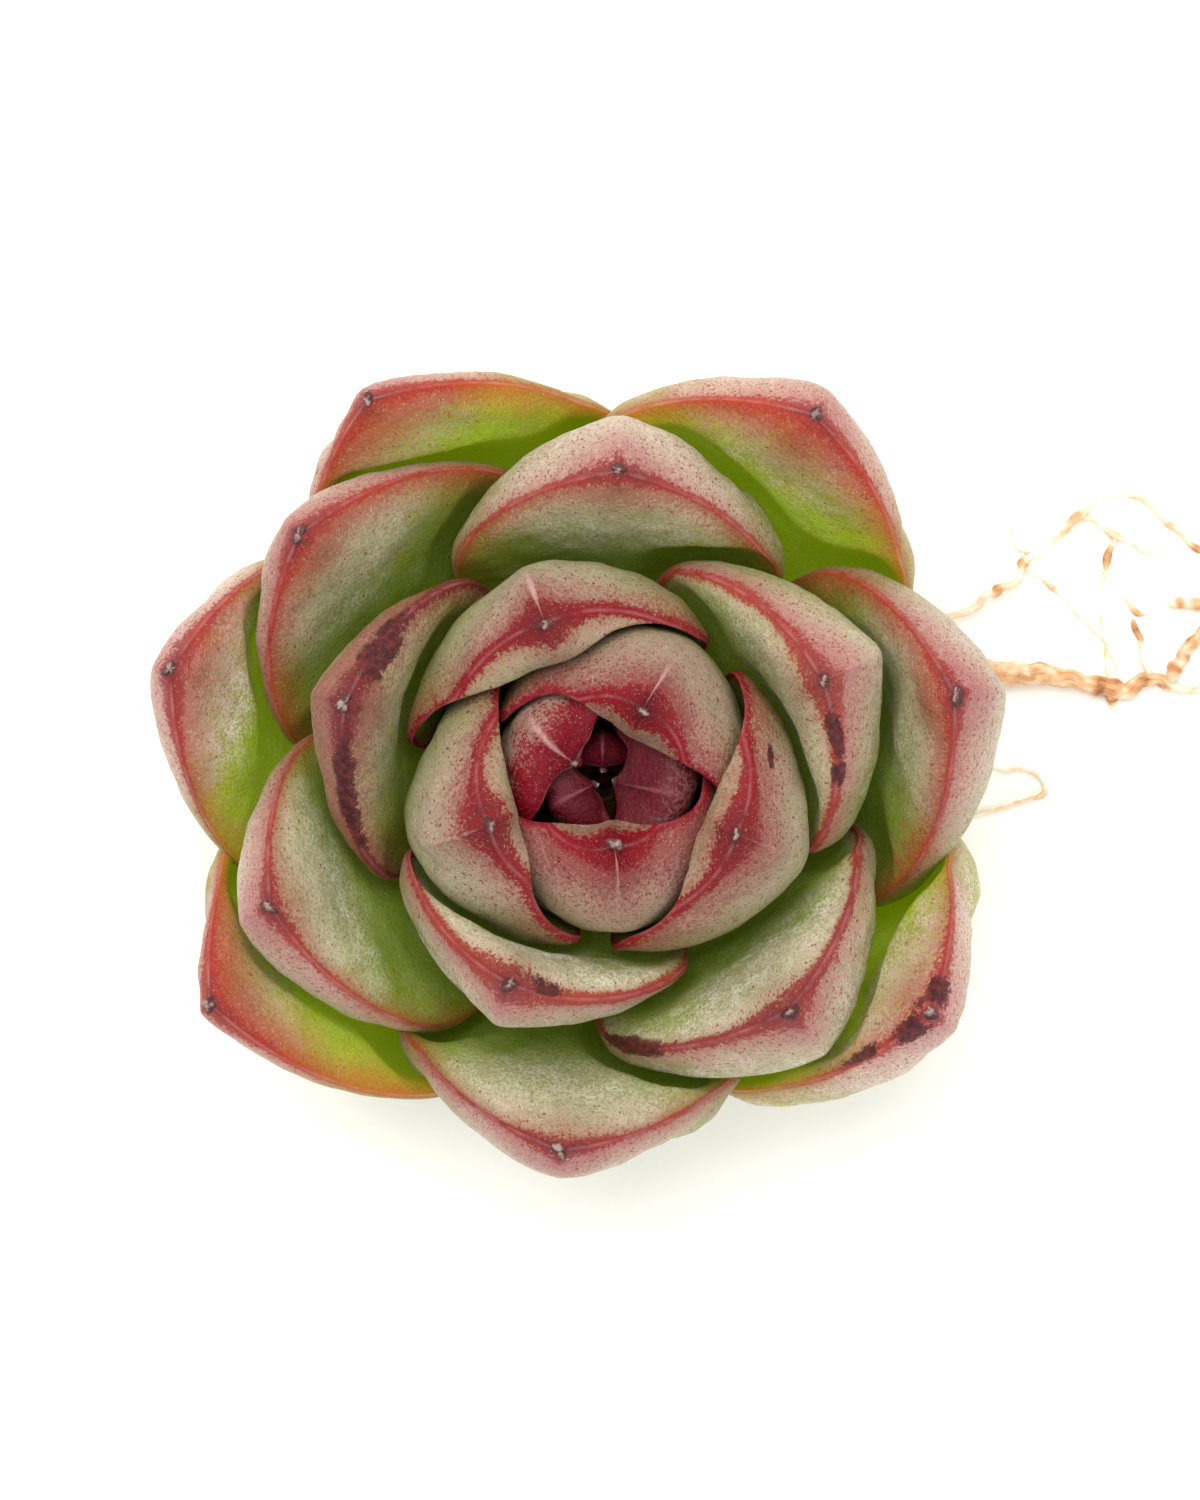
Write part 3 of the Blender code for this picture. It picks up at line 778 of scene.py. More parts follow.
@dataclass
class Bowls:
    """Nested surfaces of revolution that the leaves lie along, each known by its rim's radius in mm."""

    rim_radius: float = 37.5
    collar_radius: float = 3.9
    collar_top: float = 20.0
    collar_depth: float = 14.0
    centre_height: float = 38.0
    centre_dip: float = 7.0
    centre_dip_radius: float = 4.5
    rim_drop: float = 11.0
    leaving_droop: float = 120.0  # degrees below upright at which the widest bowl leaves the stem
    upright: float = 90.0  # degrees
    young_curl: float = 16.0  # degrees past upright, most where the bowls are about a fifth of the rim's size
    old_spread: float = 22.0  # degrees short of upright at the rim
    leaving_pull: float = 0.42  # how far the cubic's inner points lie along the chord
    arriving_pull: float = 0.36
    probe: float = 0.001  # share of the length, for slopes
    probe_rim: float = 0.01  # mm
    least_spacing: float = 0.08

    def point(self, along: Array, rim: Array) -> tuple[Array, Array]:
        """A point on a bowl's profile, a cubic curve from the stem's collar up to the rim.

        The collar's height falls with the bowl's size. The curve leaves level or drooping and arrives near
        upright.

        Args:
            along: The share of the way from the collar to the rim; past 1 it runs straight on.
            rim: The bowl's rim radius.

        Returns:
            Radius and height in mm.
        """
        along, rim = np.broadcast_arrays(np.asarray(along, float), np.asarray(rim, float))
        u = np.clip(rim, 0.0, 60.0) / self.rim_radius
        base_r = self.collar_radius * (1.0 - np.exp(-u / 0.06))
        base_z = self.collar_top - self.collar_depth * u**0.85
        dip = self.centre_dip * bell(rim, self.centre_dip_radius)
        top_z = self.centre_height - dip - self.rim_drop * u**1.8
        leaving = np.radians(self.upright - self.leaving_droop * u**0.6)
        curl = self.young_curl * bell(u - 0.22, 0.22)
        spread = self.old_spread * smooth_step((u - 0.35) / 0.65)
        arriving = np.radians(self.upright + curl - spread)
        chord = np.hypot(rim - base_r, top_z - base_z)
        near_r = base_r + self.leaving_pull * chord * np.cos(leaving)
        near_z = base_z + self.leaving_pull * chord * np.sin(leaving)
        far_r = rim - self.arriving_pull * chord * np.cos(arriving)
        far_z = top_z - self.arriving_pull * chord * np.sin(arriving)
        t = np.minimum(along, 1.0)
        m = 1.0 - t
        beyond = 3.0 * np.maximum(along - 1.0, 0.0)
        weights = (m**3, 3 * m * m * t, 3 * m * t * t, t**3)
        r = sum(weight * at for weight, at in zip(weights, (base_r, near_r, far_r, rim)))
        z = sum(weight * at for weight, at in zip(weights, (base_z, near_z, far_z, top_z)))
        return r + beyond * (rim - far_r), z + beyond * (top_z - far_z)

    def lie(self, along: Array, rim: Array) -> tuple[Array, Array]:
        """How a bowl lies at a point, from small steps along it and to the next bowl.

        Args:
            along: The share of the way from the collar to the rim.
            rim: The bowl's rim radius.

        Returns:
            The tangent's rise, and the mm between bowls for each mm of rim radius.
        """
        ahead = self.point(along + self.probe, rim)
        behind = self.point(np.maximum(along - self.probe, 0.0), rim)
        tangent_r = ahead[0] - behind[0]
        tangent_z = ahead[1] - behind[1]
        length = np.hypot(tangent_r, tangent_z) + 1e-12
        tangent_r = tangent_r / length
        tangent_z = tangent_z / length
        wider = self.point(along, rim + self.probe_rim)
        narrower = self.point(along, rim - self.probe_rim)
        outwards = (wider[0] - narrower[0]) / (2 * self.probe_rim)
        upwards = (wider[1] - narrower[1]) / (2 * self.probe_rim)
        return tangent_z, np.maximum(outwards * tangent_z - upwards * tangent_r, self.least_spacing)


@dataclass
class Room:
    """The room already filled round the axis: the outermost bowl reached, by azimuth and share of length."""

    directions: int = 720
    shares: int = 140
    span: float = 1.15
    bud: float = 0.9
    filled: Array = field(init=False)

    def __post_init__(self) -> None:
        """Starts with only the bud's room filled."""
        around_bud = self.bud * np.clip((0.9 - self.share_values()) / 0.25, 0.0, 1.0)
        self.filled = np.repeat(around_bud[None, :], self.directions, axis=0)

    def share_values(self) -> Array:
        """The share of length of each column."""
        return np.linspace(0.0, self.span, self.shares)

    def pressed(self, cells_round: int, cells_along: int, softness: int) -> Array:
        """The filled room widened by its largest values nearby, then blurred with bell weights.

        Args:
            cells_round: How far to widen round the axis.
            cells_along: How far to widen along the leaves.
            softness: The blur's width in cells.

        Returns:
            The widened and blurred room.
        """
        out = self.filled.copy()
        for k in range(-cells_round, cells_round + 1):
            out = np.maximum(out, np.roll(self.filled, k, axis=0))
        across = out.copy()
        columns = np.arange(self.shares)
        for k in range(-cells_along, cells_along + 1):
            out = np.maximum(out, across[:, np.clip(columns + k, 0, self.shares - 1)])
        reach = np.arange(-2 * softness, 2 * softness + 1)
        weights = np.exp(-0.5 * (reach / softness) ** 2)
        weights = weights / weights.sum()
        turned = sum(w * np.roll(out, k, axis=0) for w, k in zip(weights, reach))
        return sum(w * turned[:, np.clip(columns + k, 0, self.shares - 1)] for w, k in zip(weights, reach))

    def read(self, room: Array, azimuth: Array, along: Array) -> Array:
        """Reads a room between its cells, linearly both ways.

        Args:
            room: The filled room, or a pressed one.
            azimuth: Where to read it round the axis.
            along: Where to read it along the leaves.

        Returns:
            The bowl reached at each place.
        """
        x = (azimuth / TURN * self.directions) % self.directions
        y = np.clip(along / self.span * (self.shares - 1), 0.0, self.shares - 1.001)
        i = np.floor(x).astype(int)
        j = np.floor(y).astype(int)
        fx = x - i
        fy = y - j
        i = i % self.directions
        k = (i + 1) % self.directions
        near = room[i, j] * (1 - fx) + room[k, j] * fx
        far = room[i, j + 1] * (1 - fx) + room[k, j + 1] * fx
        return near * (1 - fy) + far * fy

    def fill(self, azimuth: Array, bowl: Array, length: float) -> None:
        """Marks a leaf's outer face as filled.

        Args:
            azimuth: The face's azimuths by share of length and place across.
            bowl: The bowls it reaches there.
            length: The share at which the leaf ends.
        """
        around = np.linspace(0, TURN, self.directions, endpoint=False)
        for j in np.nonzero(self.share_values() < length)[0]:
            for turn in (-1, 0, 1):
                reached = np.interp(
                    around + TURN * turn, azimuth[j], bowl[j], left=UNREACHED, right=UNREACHED
                )
                self.filled[:, j] = np.maximum(self.filled[:, j], reached)


@dataclass(frozen=True)
class Blotch:
    """A corky scar beside a margin: where along the leaf, on which side, and its half-sizes."""

    along: float
    side: float  # 1 counter-clockwise, -1 clockwise, 0 both
    length: float  # share of the leaf's length
    breadth: float  # mm
    inset: float = 0.0  # mm from the margin to the scar's middle
    face: Face | None = None
    depth: float = 1.0


@dataclass(frozen=True)
class Habit:
    """One leaf's own habit, on top of the rule that all leaves follow."""

    turn: float = 0.0  # degrees round the axis
    sway: float = 0.0  # degrees, bending the blade sideways
    reach: float = 0.0  # mm added to the rim
    size: float = 1.0  # share of the usual width
    curl: float = 0.0  # mm, leaning the tip out
    belly: float = 1.0  # share of the usual outer thickness
    length: float = 1.0  # share of its bowl that it covers
    point: float = 0.25  # how much its outline is drawn to a point
    lip: float = 0.0  # mm, how far the inner face swells out just under the tip's margins


HABITS: dict[int, Habit] = {  # turn, sway, reach, size, curl, belly, length, point, lip
    1: Habit(0, 0, 1.2, 0.95, -1.2, 1.4, 0.86, 0.8),
    2: Habit(-22, 0, 1.2, 1.2, -1.8, 0.95, 0.86, 0.8),
    3: Habit(-16, -2, -0.1, 1.0, -0.7, 1.7, 0.85, 0.6, 0.8),
    4: Habit(-22, 40, -0.1, 1.05, -0.6, 0.9, 0.87, 0.6),
    5: Habit(-9, 11, 0.6, 0.98, -0.4, 1.0, 1.0, 0.9, 1.1),
    6: Habit(-2, 6, -1.0, 1.0, 0.0, 0.9, 1.0, 0.9, 1.0),
    7: Habit(0, 8, 0.0, 0.95, 0.0, 1.1, 1.0, 0.8, 0.6),
    8: Habit(3, 2, -0.7, 1.0, 0.0, 0.8, 1.0, 0.6, 0.6),
    9: Habit(0, -1, -1.3, 1.0, 0.0, 0.85, 1.0, 0.8, 1.1),
    10: Habit(-1, -3, 0.9, 0.98, 0.0, 0.8, 1.0, 0.65),
    11: Habit(1, -4, -0.2, 1.0, 0.0, 1.3, 1.0, 0.45),
    12: Habit(0, 0, -0.3, 0.95, 0.0, 0.85, 1.0, 0.45),
    13: Habit(8, 0, -0.4, 0.98, 0.0, 1.4, 1.0, 0.5),
    14: Habit(8, 1, -1.5, 0.96, 0.0, 1.4, 1.0, 0.4),
    15: Habit(-11, -6, 0.4, 0.96, 0.0, 1.1, 1.0, 0.3),
    16: Habit(16, 6, -0.1, 1.0, -1.0, 1.4, 1.0, 0.25),
    17: Habit(8, 3, -0.3, 1.02, 0.0, 0.9, 1.0, 0.2),
    18: Habit(-5, 0, -3.3, 1.04, 0.0, 1.0, 1.0, 0.3),
    19: Habit(16, -3, -0.4, 1.08, 0.0, 1.1, 1.0, 0.15),
    20: Habit(-15, -4, 0.7, 1.02, 0.0, 0.9, 1.0, 0.15),
    21: Habit(1, 4, -3.8, 1.0, 0.0, 1.1, 1.0, 0.2),
    22: Habit(15, 12, -0.9, 1.0, 0.5, 0.7, 1.0, 0.2),
    23: Habit(-20, -9, -1.0, 1.0, 1.0, 0.7, 1.0, 0.35),
}
KEEL_LINES = {  # how bright the pale line along a leaf's keel is, partly a painted highlight on the ridge
    1: 0.9, 2: 0.9, 3: 0.9, 4: 1.0, 5: 0.8, 6: 1.0, 7: 0.3, 8: 0.2, 9: 0.9, 11: 0.3, 14: 0.3,
}
BLOTCHES: dict[int, tuple[Blotch, ...]] = {
    8: (Blotch(0.80, 1, 0.015, 0.5, 3.0, Face.OUTER),),
    10: (Blotch(0.92, 1, 0.04, 1.3, 0.7, Face.INNER, 0.75),),
    11: (Blotch(0.90, -1, 0.045, 0.75, 0.0, None, 0.9), Blotch(0.84, -1, 0.02, 0.5, 0.3)),
    12: (
        Blotch(0.88, -1, 0.06, 2.0, 0.5, Face.INNER),
        Blotch(0.88, -1, 0.06, 1.3, 0.0, Face.OUTER, 0.95),
        Blotch(0.85, 1, 0.11, 1.4, 0.1, Face.INNER),
        Blotch(0.85, 1, 0.09, 0.8, 0.0, Face.OUTER),
    ),
    13: (Blotch(0.72, -1, 0.07, 0.9, 0.2),),
    21: (Blotch(0.97, 0, 0.02, 1.1, 0.4, None, 0.9), Blotch(0.9, -1, 0.03, 0.8, 0.4, Face.INNER, 0.8)),
}


@dataclass
class LeafBuild:
    """How a leaf is shaped, shared by all: sizes in mm and shares of its length or thickness."""

    golden_turn: float = 137.5
    first_azimuth: float = 91.0
    full_width: float = 30.5
    width_growth: float = 4.0
    outer_thickness: float = 5.4
    inner_thickness: float = 2.8
    widest_at: float = 0.62
    base_width: float = 0.27
    base_thickness: float = 0.28
    young_keel: float = 0.85
    old_keel: float = 0.2
    keel_ages: tuple[int, int] = (8, 7)
    keel_round: float = 0.07
    heart_leaves: int = 4
    heart_wrap: float = 0.6
    heart_bend: float = 14.0  # mm, the least radius that a heart leaf is bent to
    young_wrap: float = 1.25
    old_wrap: float = 0.75
    wrap_ages: tuple[int, int] = (5, 9)  # the leaf where the change sets in, and how many it takes
    gap: float = 0.25
    tuck: float = 0.75  # how far an old leaf's shoulders press into the leaf above and not round it
    tuck_ages: tuple[int, int] = (12, 7)
    press_reach: float = 2.6
    bead_height: float = 0.14
    bead_width: float = 0.30
    inner_bead: float = 0.6  # the bead's height on the inner face, as a share
    widest_turn: float = 2.6  # radians, how far a blade may bend round
    softness: float = 0.3  # mm, how softly a leaf is pressed where it meets another
    outer_follows: float = 0.55  # how much of the inner face's push the outer face takes
    oldest: int = 23
    first_opening: float = 2.3  # leaves younger than this stand at the axis
    full_leaf: float = 26.0  # mm wide, from which a leaf has its full thickness

    def outline(self, along: Array, point: float) -> Array:
        """Half-width as a share of the widest: a sine rise, then part parabola and part squared cosine.

        Args:
            along: Share of the leaf's length.
            point: The squared cosine's share, which draws the leaf to a point.

        Returns:
            A share for each place.
        """
        rise = np.sin(0.5 * np.pi * np.clip(along / self.widest_at, 0, 1)) ** 1.3
        y = np.clip((along - self.widest_at) / (1 - self.widest_at), 0.0, 1.0)
        fall = (1 - point) * (1 - y**2.2) + point * np.cos(0.5 * np.pi * y) ** 2
        return np.where(along < self.widest_at, self.base_width + (1 - self.base_width) * rise, fall)

    def thickness(self, along: Array) -> Array:
        """Thickness as a share of the thickest: a smooth rise, closed at the tip by a round end.

        Args:
            along: Share of the leaf's length.

        Returns:
            A share for each place.
        """
        rise = self.base_thickness + (1 - self.base_thickness) * smooth_step(along / 0.65)
        y = np.clip((along - 0.72) / 0.28, 0.0, 1.0)
        return rise * np.sqrt(np.clip(1 - y**2.6, 0.0, 1.0))


@dataclass
class Leaf:
    """One leaf: a patch of a bowl, thickened on both faces and pressed out by the leaves inside it."""

    number: int
    build: LeafBuild
    bowls: Bowls
    room: Room
    lift: float
    rows: int = 120
    sides: int = 168
    crowding: float = 1.5  # above 1, the rings crowd towards the tip

    def __post_init__(self) -> None:
        """Works out the leaf's place and size, then takes its place in the room."""
        b = self.build
        self.habit = HABITS[self.number]
        age = min(max((self.number - b.first_opening) / (b.oldest - b.first_opening), 0.0), 1.0)
        turned = b.first_azimuth + b.golden_turn * (self.number - 1) + self.habit.turn
        self.azimuth = math.radians(turned % 360)
        self.rim = max(0.3, self.bowls.rim_radius * math.sin(0.5 * math.pi * age**1.2) + self.habit.reach)
        self.width = b.full_width * (1 - math.exp(-self.number / b.width_growth)) * self.habit.size
        self.fullness = min(1.0, self.width / b.full_leaf)
        cells = round(b.press_reach / (TURN * max(self.rim, 4.0)) * self.room.directions)
        self.pressed = self.room.pressed(max(cells, 6), 6, 8)
        shares, across = np.meshgrid(self.room.share_values(), np.linspace(-1, 1, 161), indexing="ij")
        azimuth, bowl = self.surface(shares / self.habit.length, across, np.ones_like(shares))
        self.room.fill(azimuth, bowl, self.habit.length)

    def half_width(self, along: Array) -> Array:
        """The leaf's half-width in mm."""
        return 0.5 * self.width * self.build.outline(along, self.habit.point)

    def aged(self, ages: tuple[int, int]) -> float:
        """How far the leaf is, 0 to 1, in a change that sets in at one leaf and takes so many more."""
        first, leaves = ages
        return float(smooth_step(np.array((self.number - first) / leaves)))

    def wrap(self) -> float:
        """How closely the leaf bends round the axis: more on the younger leaves.

        Returns:
            0 for a flat leaf, 1 for one that follows the circle round the axis, more for a tighter one.
        """
        b = self.build
        if self.number <= b.heart_leaves:
            return b.heart_wrap
        return b.young_wrap + (b.old_wrap - b.young_wrap) * self.aged(b.wrap_ages)

    def keel_share(self) -> float:
        """How far the outer face is a roof with a keel and not a dome: less on the older leaves."""
        b = self.build
        return b.young_keel + (b.old_keel - b.young_keel) * self.aged(b.keel_ages)

    def surface(self, along: Array, across: Array, face: Array) -> tuple[Array, Array]:
        """Points of the leaf's skin.

        Across, the leaf bends round the axis a little less than its bowl. Its outer face is a dome with a
        keel, its inner face a shallower dome, and both carry a fine bead at the margin. Where the room inside
        is filled, the inner face is pushed out by a softened maximum, and the outer face follows by about
        half.

        Args:
            along: Share of the length, 0 at the base.
            across: Place between the margins, -1 to 1.
            face: 1 on the outer face, -1 on the inner.

        Returns:
            Azimuth and bowl of each point.
        """
        b = self.build
        place_on_bowl = along * self.habit.length
        radius = np.maximum(self.bowls.point(place_on_bowl, np.full_like(along, self.rim))[0], 0.8)
        rise, spacing = self.bowls.lie(place_on_bowl, np.full_like(along, self.rim))
        bend = radius / self.wrap()
        if self.number <= b.heart_leaves:
            bend = np.maximum(bend, b.heart_bend)
        half = self.half_width(along)
        angle = np.clip(half * across / bend, -b.widest_turn, b.widest_turn)
        sideways = bend * np.sin(angle)
        inwards = bend * (1 - np.cos(angle))
        swayed = self.azimuth + math.radians(self.habit.sway) * (along * along - 0.3)
        azimuth = swayed + np.arctan2(sideways, radius - inwards)
        lift = np.hypot(sideways, radius - inwards) - radius
        flat = np.clip(1 - across * across, 0.0, 1.0)
        keel = self.keel_share() * smooth_step((along - 0.3) / 0.5)
        slope = np.sqrt(across * across + b.keel_round**2) - b.keel_round
        ridge = 1.0 - slope / (math.sqrt(1 + b.keel_round**2) - b.keel_round)
        thickness = b.thickness(along) * self.fullness
        bead = b.bead_height * bell((1 - np.abs(across)) * half, b.bead_width)
        bead = bead * smooth_step((along - 0.35) / 0.3) * smooth_step((1 - along) / 0.03)
        dome = flat**0.5 * (1 - keel) + keel * ridge
        outer = b.outer_thickness * self.habit.belly * thickness * dome + bead
        inner = b.inner_thickness * thickness * flat**0.55 + bead * b.inner_bead
        near_tip = smooth_step((along - 0.62) / 0.2) * np.sqrt(np.clip(1 - along**6, 0, 1))
        inner = inner + self.habit.lip * near_tip * flat**0.4
        middle = self.rim + lift * np.clip(rise, 0.1, 1.0) / spacing
        middle = middle + self.habit.curl * smooth_step((along - 0.5) / 0.5) ** 2 / spacing
        near = middle - inner / spacing
        needed = self.room.read(self.pressed, azimuth, place_on_bowl) + b.gap / spacing - near
        softness = b.softness / spacing
        push = 0.5 * (needed + np.sqrt(needed * needed + softness * softness))
        push = np.where(needed < -6 * softness, 0.0, push)
        tucked = b.tuck * self.aged(b.tuck_ages)
        push = push * (1.0 - tucked * smooth_step((np.abs(across) - 0.7) / 0.3))
        share = b.outer_follows + (1 - b.outer_follows) * across**6
        return azimuth, np.where(face > 0, middle + outer / spacing + push * share, near + push)

    def rings(self) -> tuple[Array, Array, Array, Array]:
        """The leaf's skin as rings from base to tip.

        Returns:
            Points in mm by ring and side, then along, across and face for each.
        """
        along = 1 - (1 - np.linspace(0, 1, self.rows)) ** self.crowding
        turn = np.linspace(0, TURN, self.sides, endpoint=False)
        along, turn = np.meshgrid(along[:-1], turn, indexing="ij")
        across = np.cos(turn)
        face = np.where(turn > math.pi + 0.001, 1.0, -1.0)
        azimuth, bowl = self.surface(along, across, face)
        r, z = self.bowls.point(along * self.habit.length, bowl)
        points = np.stack([r * np.cos(azimuth), r * np.sin(azimuth), z + self.lift], axis=-1)
        return points, along, across, face


# --- the leaves' colouring ---


@dataclass(frozen=True)
class Colouring:
    """Where a leaf's red, blush and green lie: widths in mm, strengths from 0 to 1."""

    outer_band: float  # width of the ragged red on the outer face
    inner_band: float
    tip_band: float  # how much wider the red is at the tip
    tip_reach: float
    fading: float  # strength of the red that fades evenly over the inner face
    fading_width: float
    warm: float
    outer_blush: float
    inner_blush: float
    blush_reach: float
    outer_dots: float
    inner_dots: float
    green: float  # added all over
    outer_green: float  # added on the outer face
    green_start: float  # mm from the tip where the green sets in
    green_reach: float
    bloom: float
    tan: float = 0.0  # how brown the blush is
    pale_margin: float = 0.0  # how far the green keeps off the margins


COLOURINGS: tuple[tuple[int, Colouring], ...] = (  # each up to this leaf
    (
        3,
        Colouring(
            outer_band=6.0, inner_band=8.0, tip_band=3.0, tip_reach=4.0,
            fading=0.6, fading_width=3.0, warm=0.0, outer_blush=0.9, inner_blush=0.8, blush_reach=4.0,
            outer_dots=0.7, inner_dots=0.3, green=0.0, outer_green=0.0, green_start=6.0, green_reach=12.0,
            bloom=0.2,
        ),
    ),
    (
        4,
        Colouring(
            outer_band=5.2, inner_band=3.0, tip_band=2.8, tip_reach=4.5,
            fading=0.5, fading_width=2.5, warm=0.0, outer_blush=0.9, inner_blush=0.8, blush_reach=3.0,
            outer_dots=0.9, inner_dots=0.3, green=0.0, outer_green=0.0, green_start=7.0, green_reach=14.0,
            bloom=0.4,
        ),
    ),
    (
        9,
        Colouring(
            outer_band=0.9, inner_band=0.7, tip_band=2.4, tip_reach=3.4,
            fading=0.4, fading_width=1.1, warm=0.1, outer_blush=0.95, inner_blush=0.65, blush_reach=4.0,
            outer_dots=1.0, inner_dots=0.3, green=0.05, outer_green=0.12, green_start=6.0, green_reach=13.0,
            bloom=0.8,
        ),
    ),
    (
        13,
        Colouring(
            outer_band=0.7, inner_band=0.7, tip_band=1.5, tip_reach=4.0,
            fading=0.45, fading_width=1.2, warm=0.35, outer_blush=0.9, inner_blush=0.35, blush_reach=3.5,
            outer_dots=1.0, inner_dots=0.25, green=0.1, outer_green=0.15, green_start=6.0, green_reach=14.0,
            bloom=0.9, pale_margin=0.8,
        ),
    ),
    (
        18,
        Colouring(
            outer_band=0.25, inner_band=0.25, tip_band=1.2, tip_reach=4.0,
            fading=0.65, fading_width=1.4, warm=0.6, outer_blush=0.8, inner_blush=0.45, blush_reach=4.0,
            outer_dots=1.0, inner_dots=0.25, green=0.15, outer_green=-0.25, green_start=7.0, green_reach=14.0,
            bloom=1.0,
        ),
    ),
    (
        23,
        Colouring(
            outer_band=0.3, inner_band=0.4, tip_band=1.4, tip_reach=5.5,
            fading=0.85, fading_width=2.6, warm=0.85, outer_blush=0.45, inner_blush=0.85, blush_reach=4.5,
            outer_dots=1.0, inner_dots=0.2, green=0.1, outer_green=-0.6, green_start=5.0, green_reach=13.0,
            bloom=0.8,
        ),
    ),
)
OWN_COLOURING: dict[int, dict[str, float]] = {  # what a single leaf has of its own
    5: {"tip_band": 3.4, "outer_blush": 1.2, "blush_reach": 7.0},
    6: {"tip_band": 3.0, "outer_blush": 1.05, "blush_reach": 5.0},
    7: {"tip_band": 2.8},
    8: {"outer_blush": 1.05, "blush_reach": 6.0},
    9: {"tip_band": 2.6},
    10: {"tip_band": 2.6, "fading": 0.5, "warm": 0.6, "outer_blush": 1.1, "inner_blush": 0.4, "bloom": 1.6},
    11: {"warm": 0.6, "outer_blush": 1.1, "inner_blush": 0.5},
    12: {
        "fading": 0.8, "outer_blush": 1.35, "inner_blush": 1.0, "blush_reach": 7.0, "outer_dots": 1.4,
        "bloom": 0.8, "tan": 1.0,
    },
    13: {"outer_dots": 0.8, "bloom": 1.3, "tan": 0.15},
    14: {"outer_band": 0.5, "fading": 0.5, "outer_blush": 0.65, "inner_blush": 1.0},
    16: {"inner_band": 0.4, "fading_width": 2.2, "warm": 0.75, "inner_blush": 1.0},
    17: {"inner_band": 0.4, "tip_band": 1.6, "fading_width": 2.4, "warm": 0.85, "inner_blush": 1.05},
    18: {"warm": 0.4, "inner_blush": 0.3, "green": 0.1},
    20: {"fading": 0.5, "warm": 0.3, "inner_blush": 0.9, "green": 0.0, "bloom": 1.6},
    21: {
        "fading": 0.5, "fading_width": 1.6, "warm": 0.4, "inner_blush": 0.6, "outer_dots": 1.2,
        "green": 0.05, "bloom": 1.1,
    },
    22: {"green": 0.25},
    23: {"green": 0.15, "warm": 0.95},
}


def colouring_of(number: int) -> Colouring:
    """The colouring of a leaf by its number: crimson at the heart, scarlet and yellow-green at the rim."""
    base = next(colouring for last, colouring in COLOURINGS if number <= last)
    return replace(base, **OWN_COLOURING.get(number, {}))


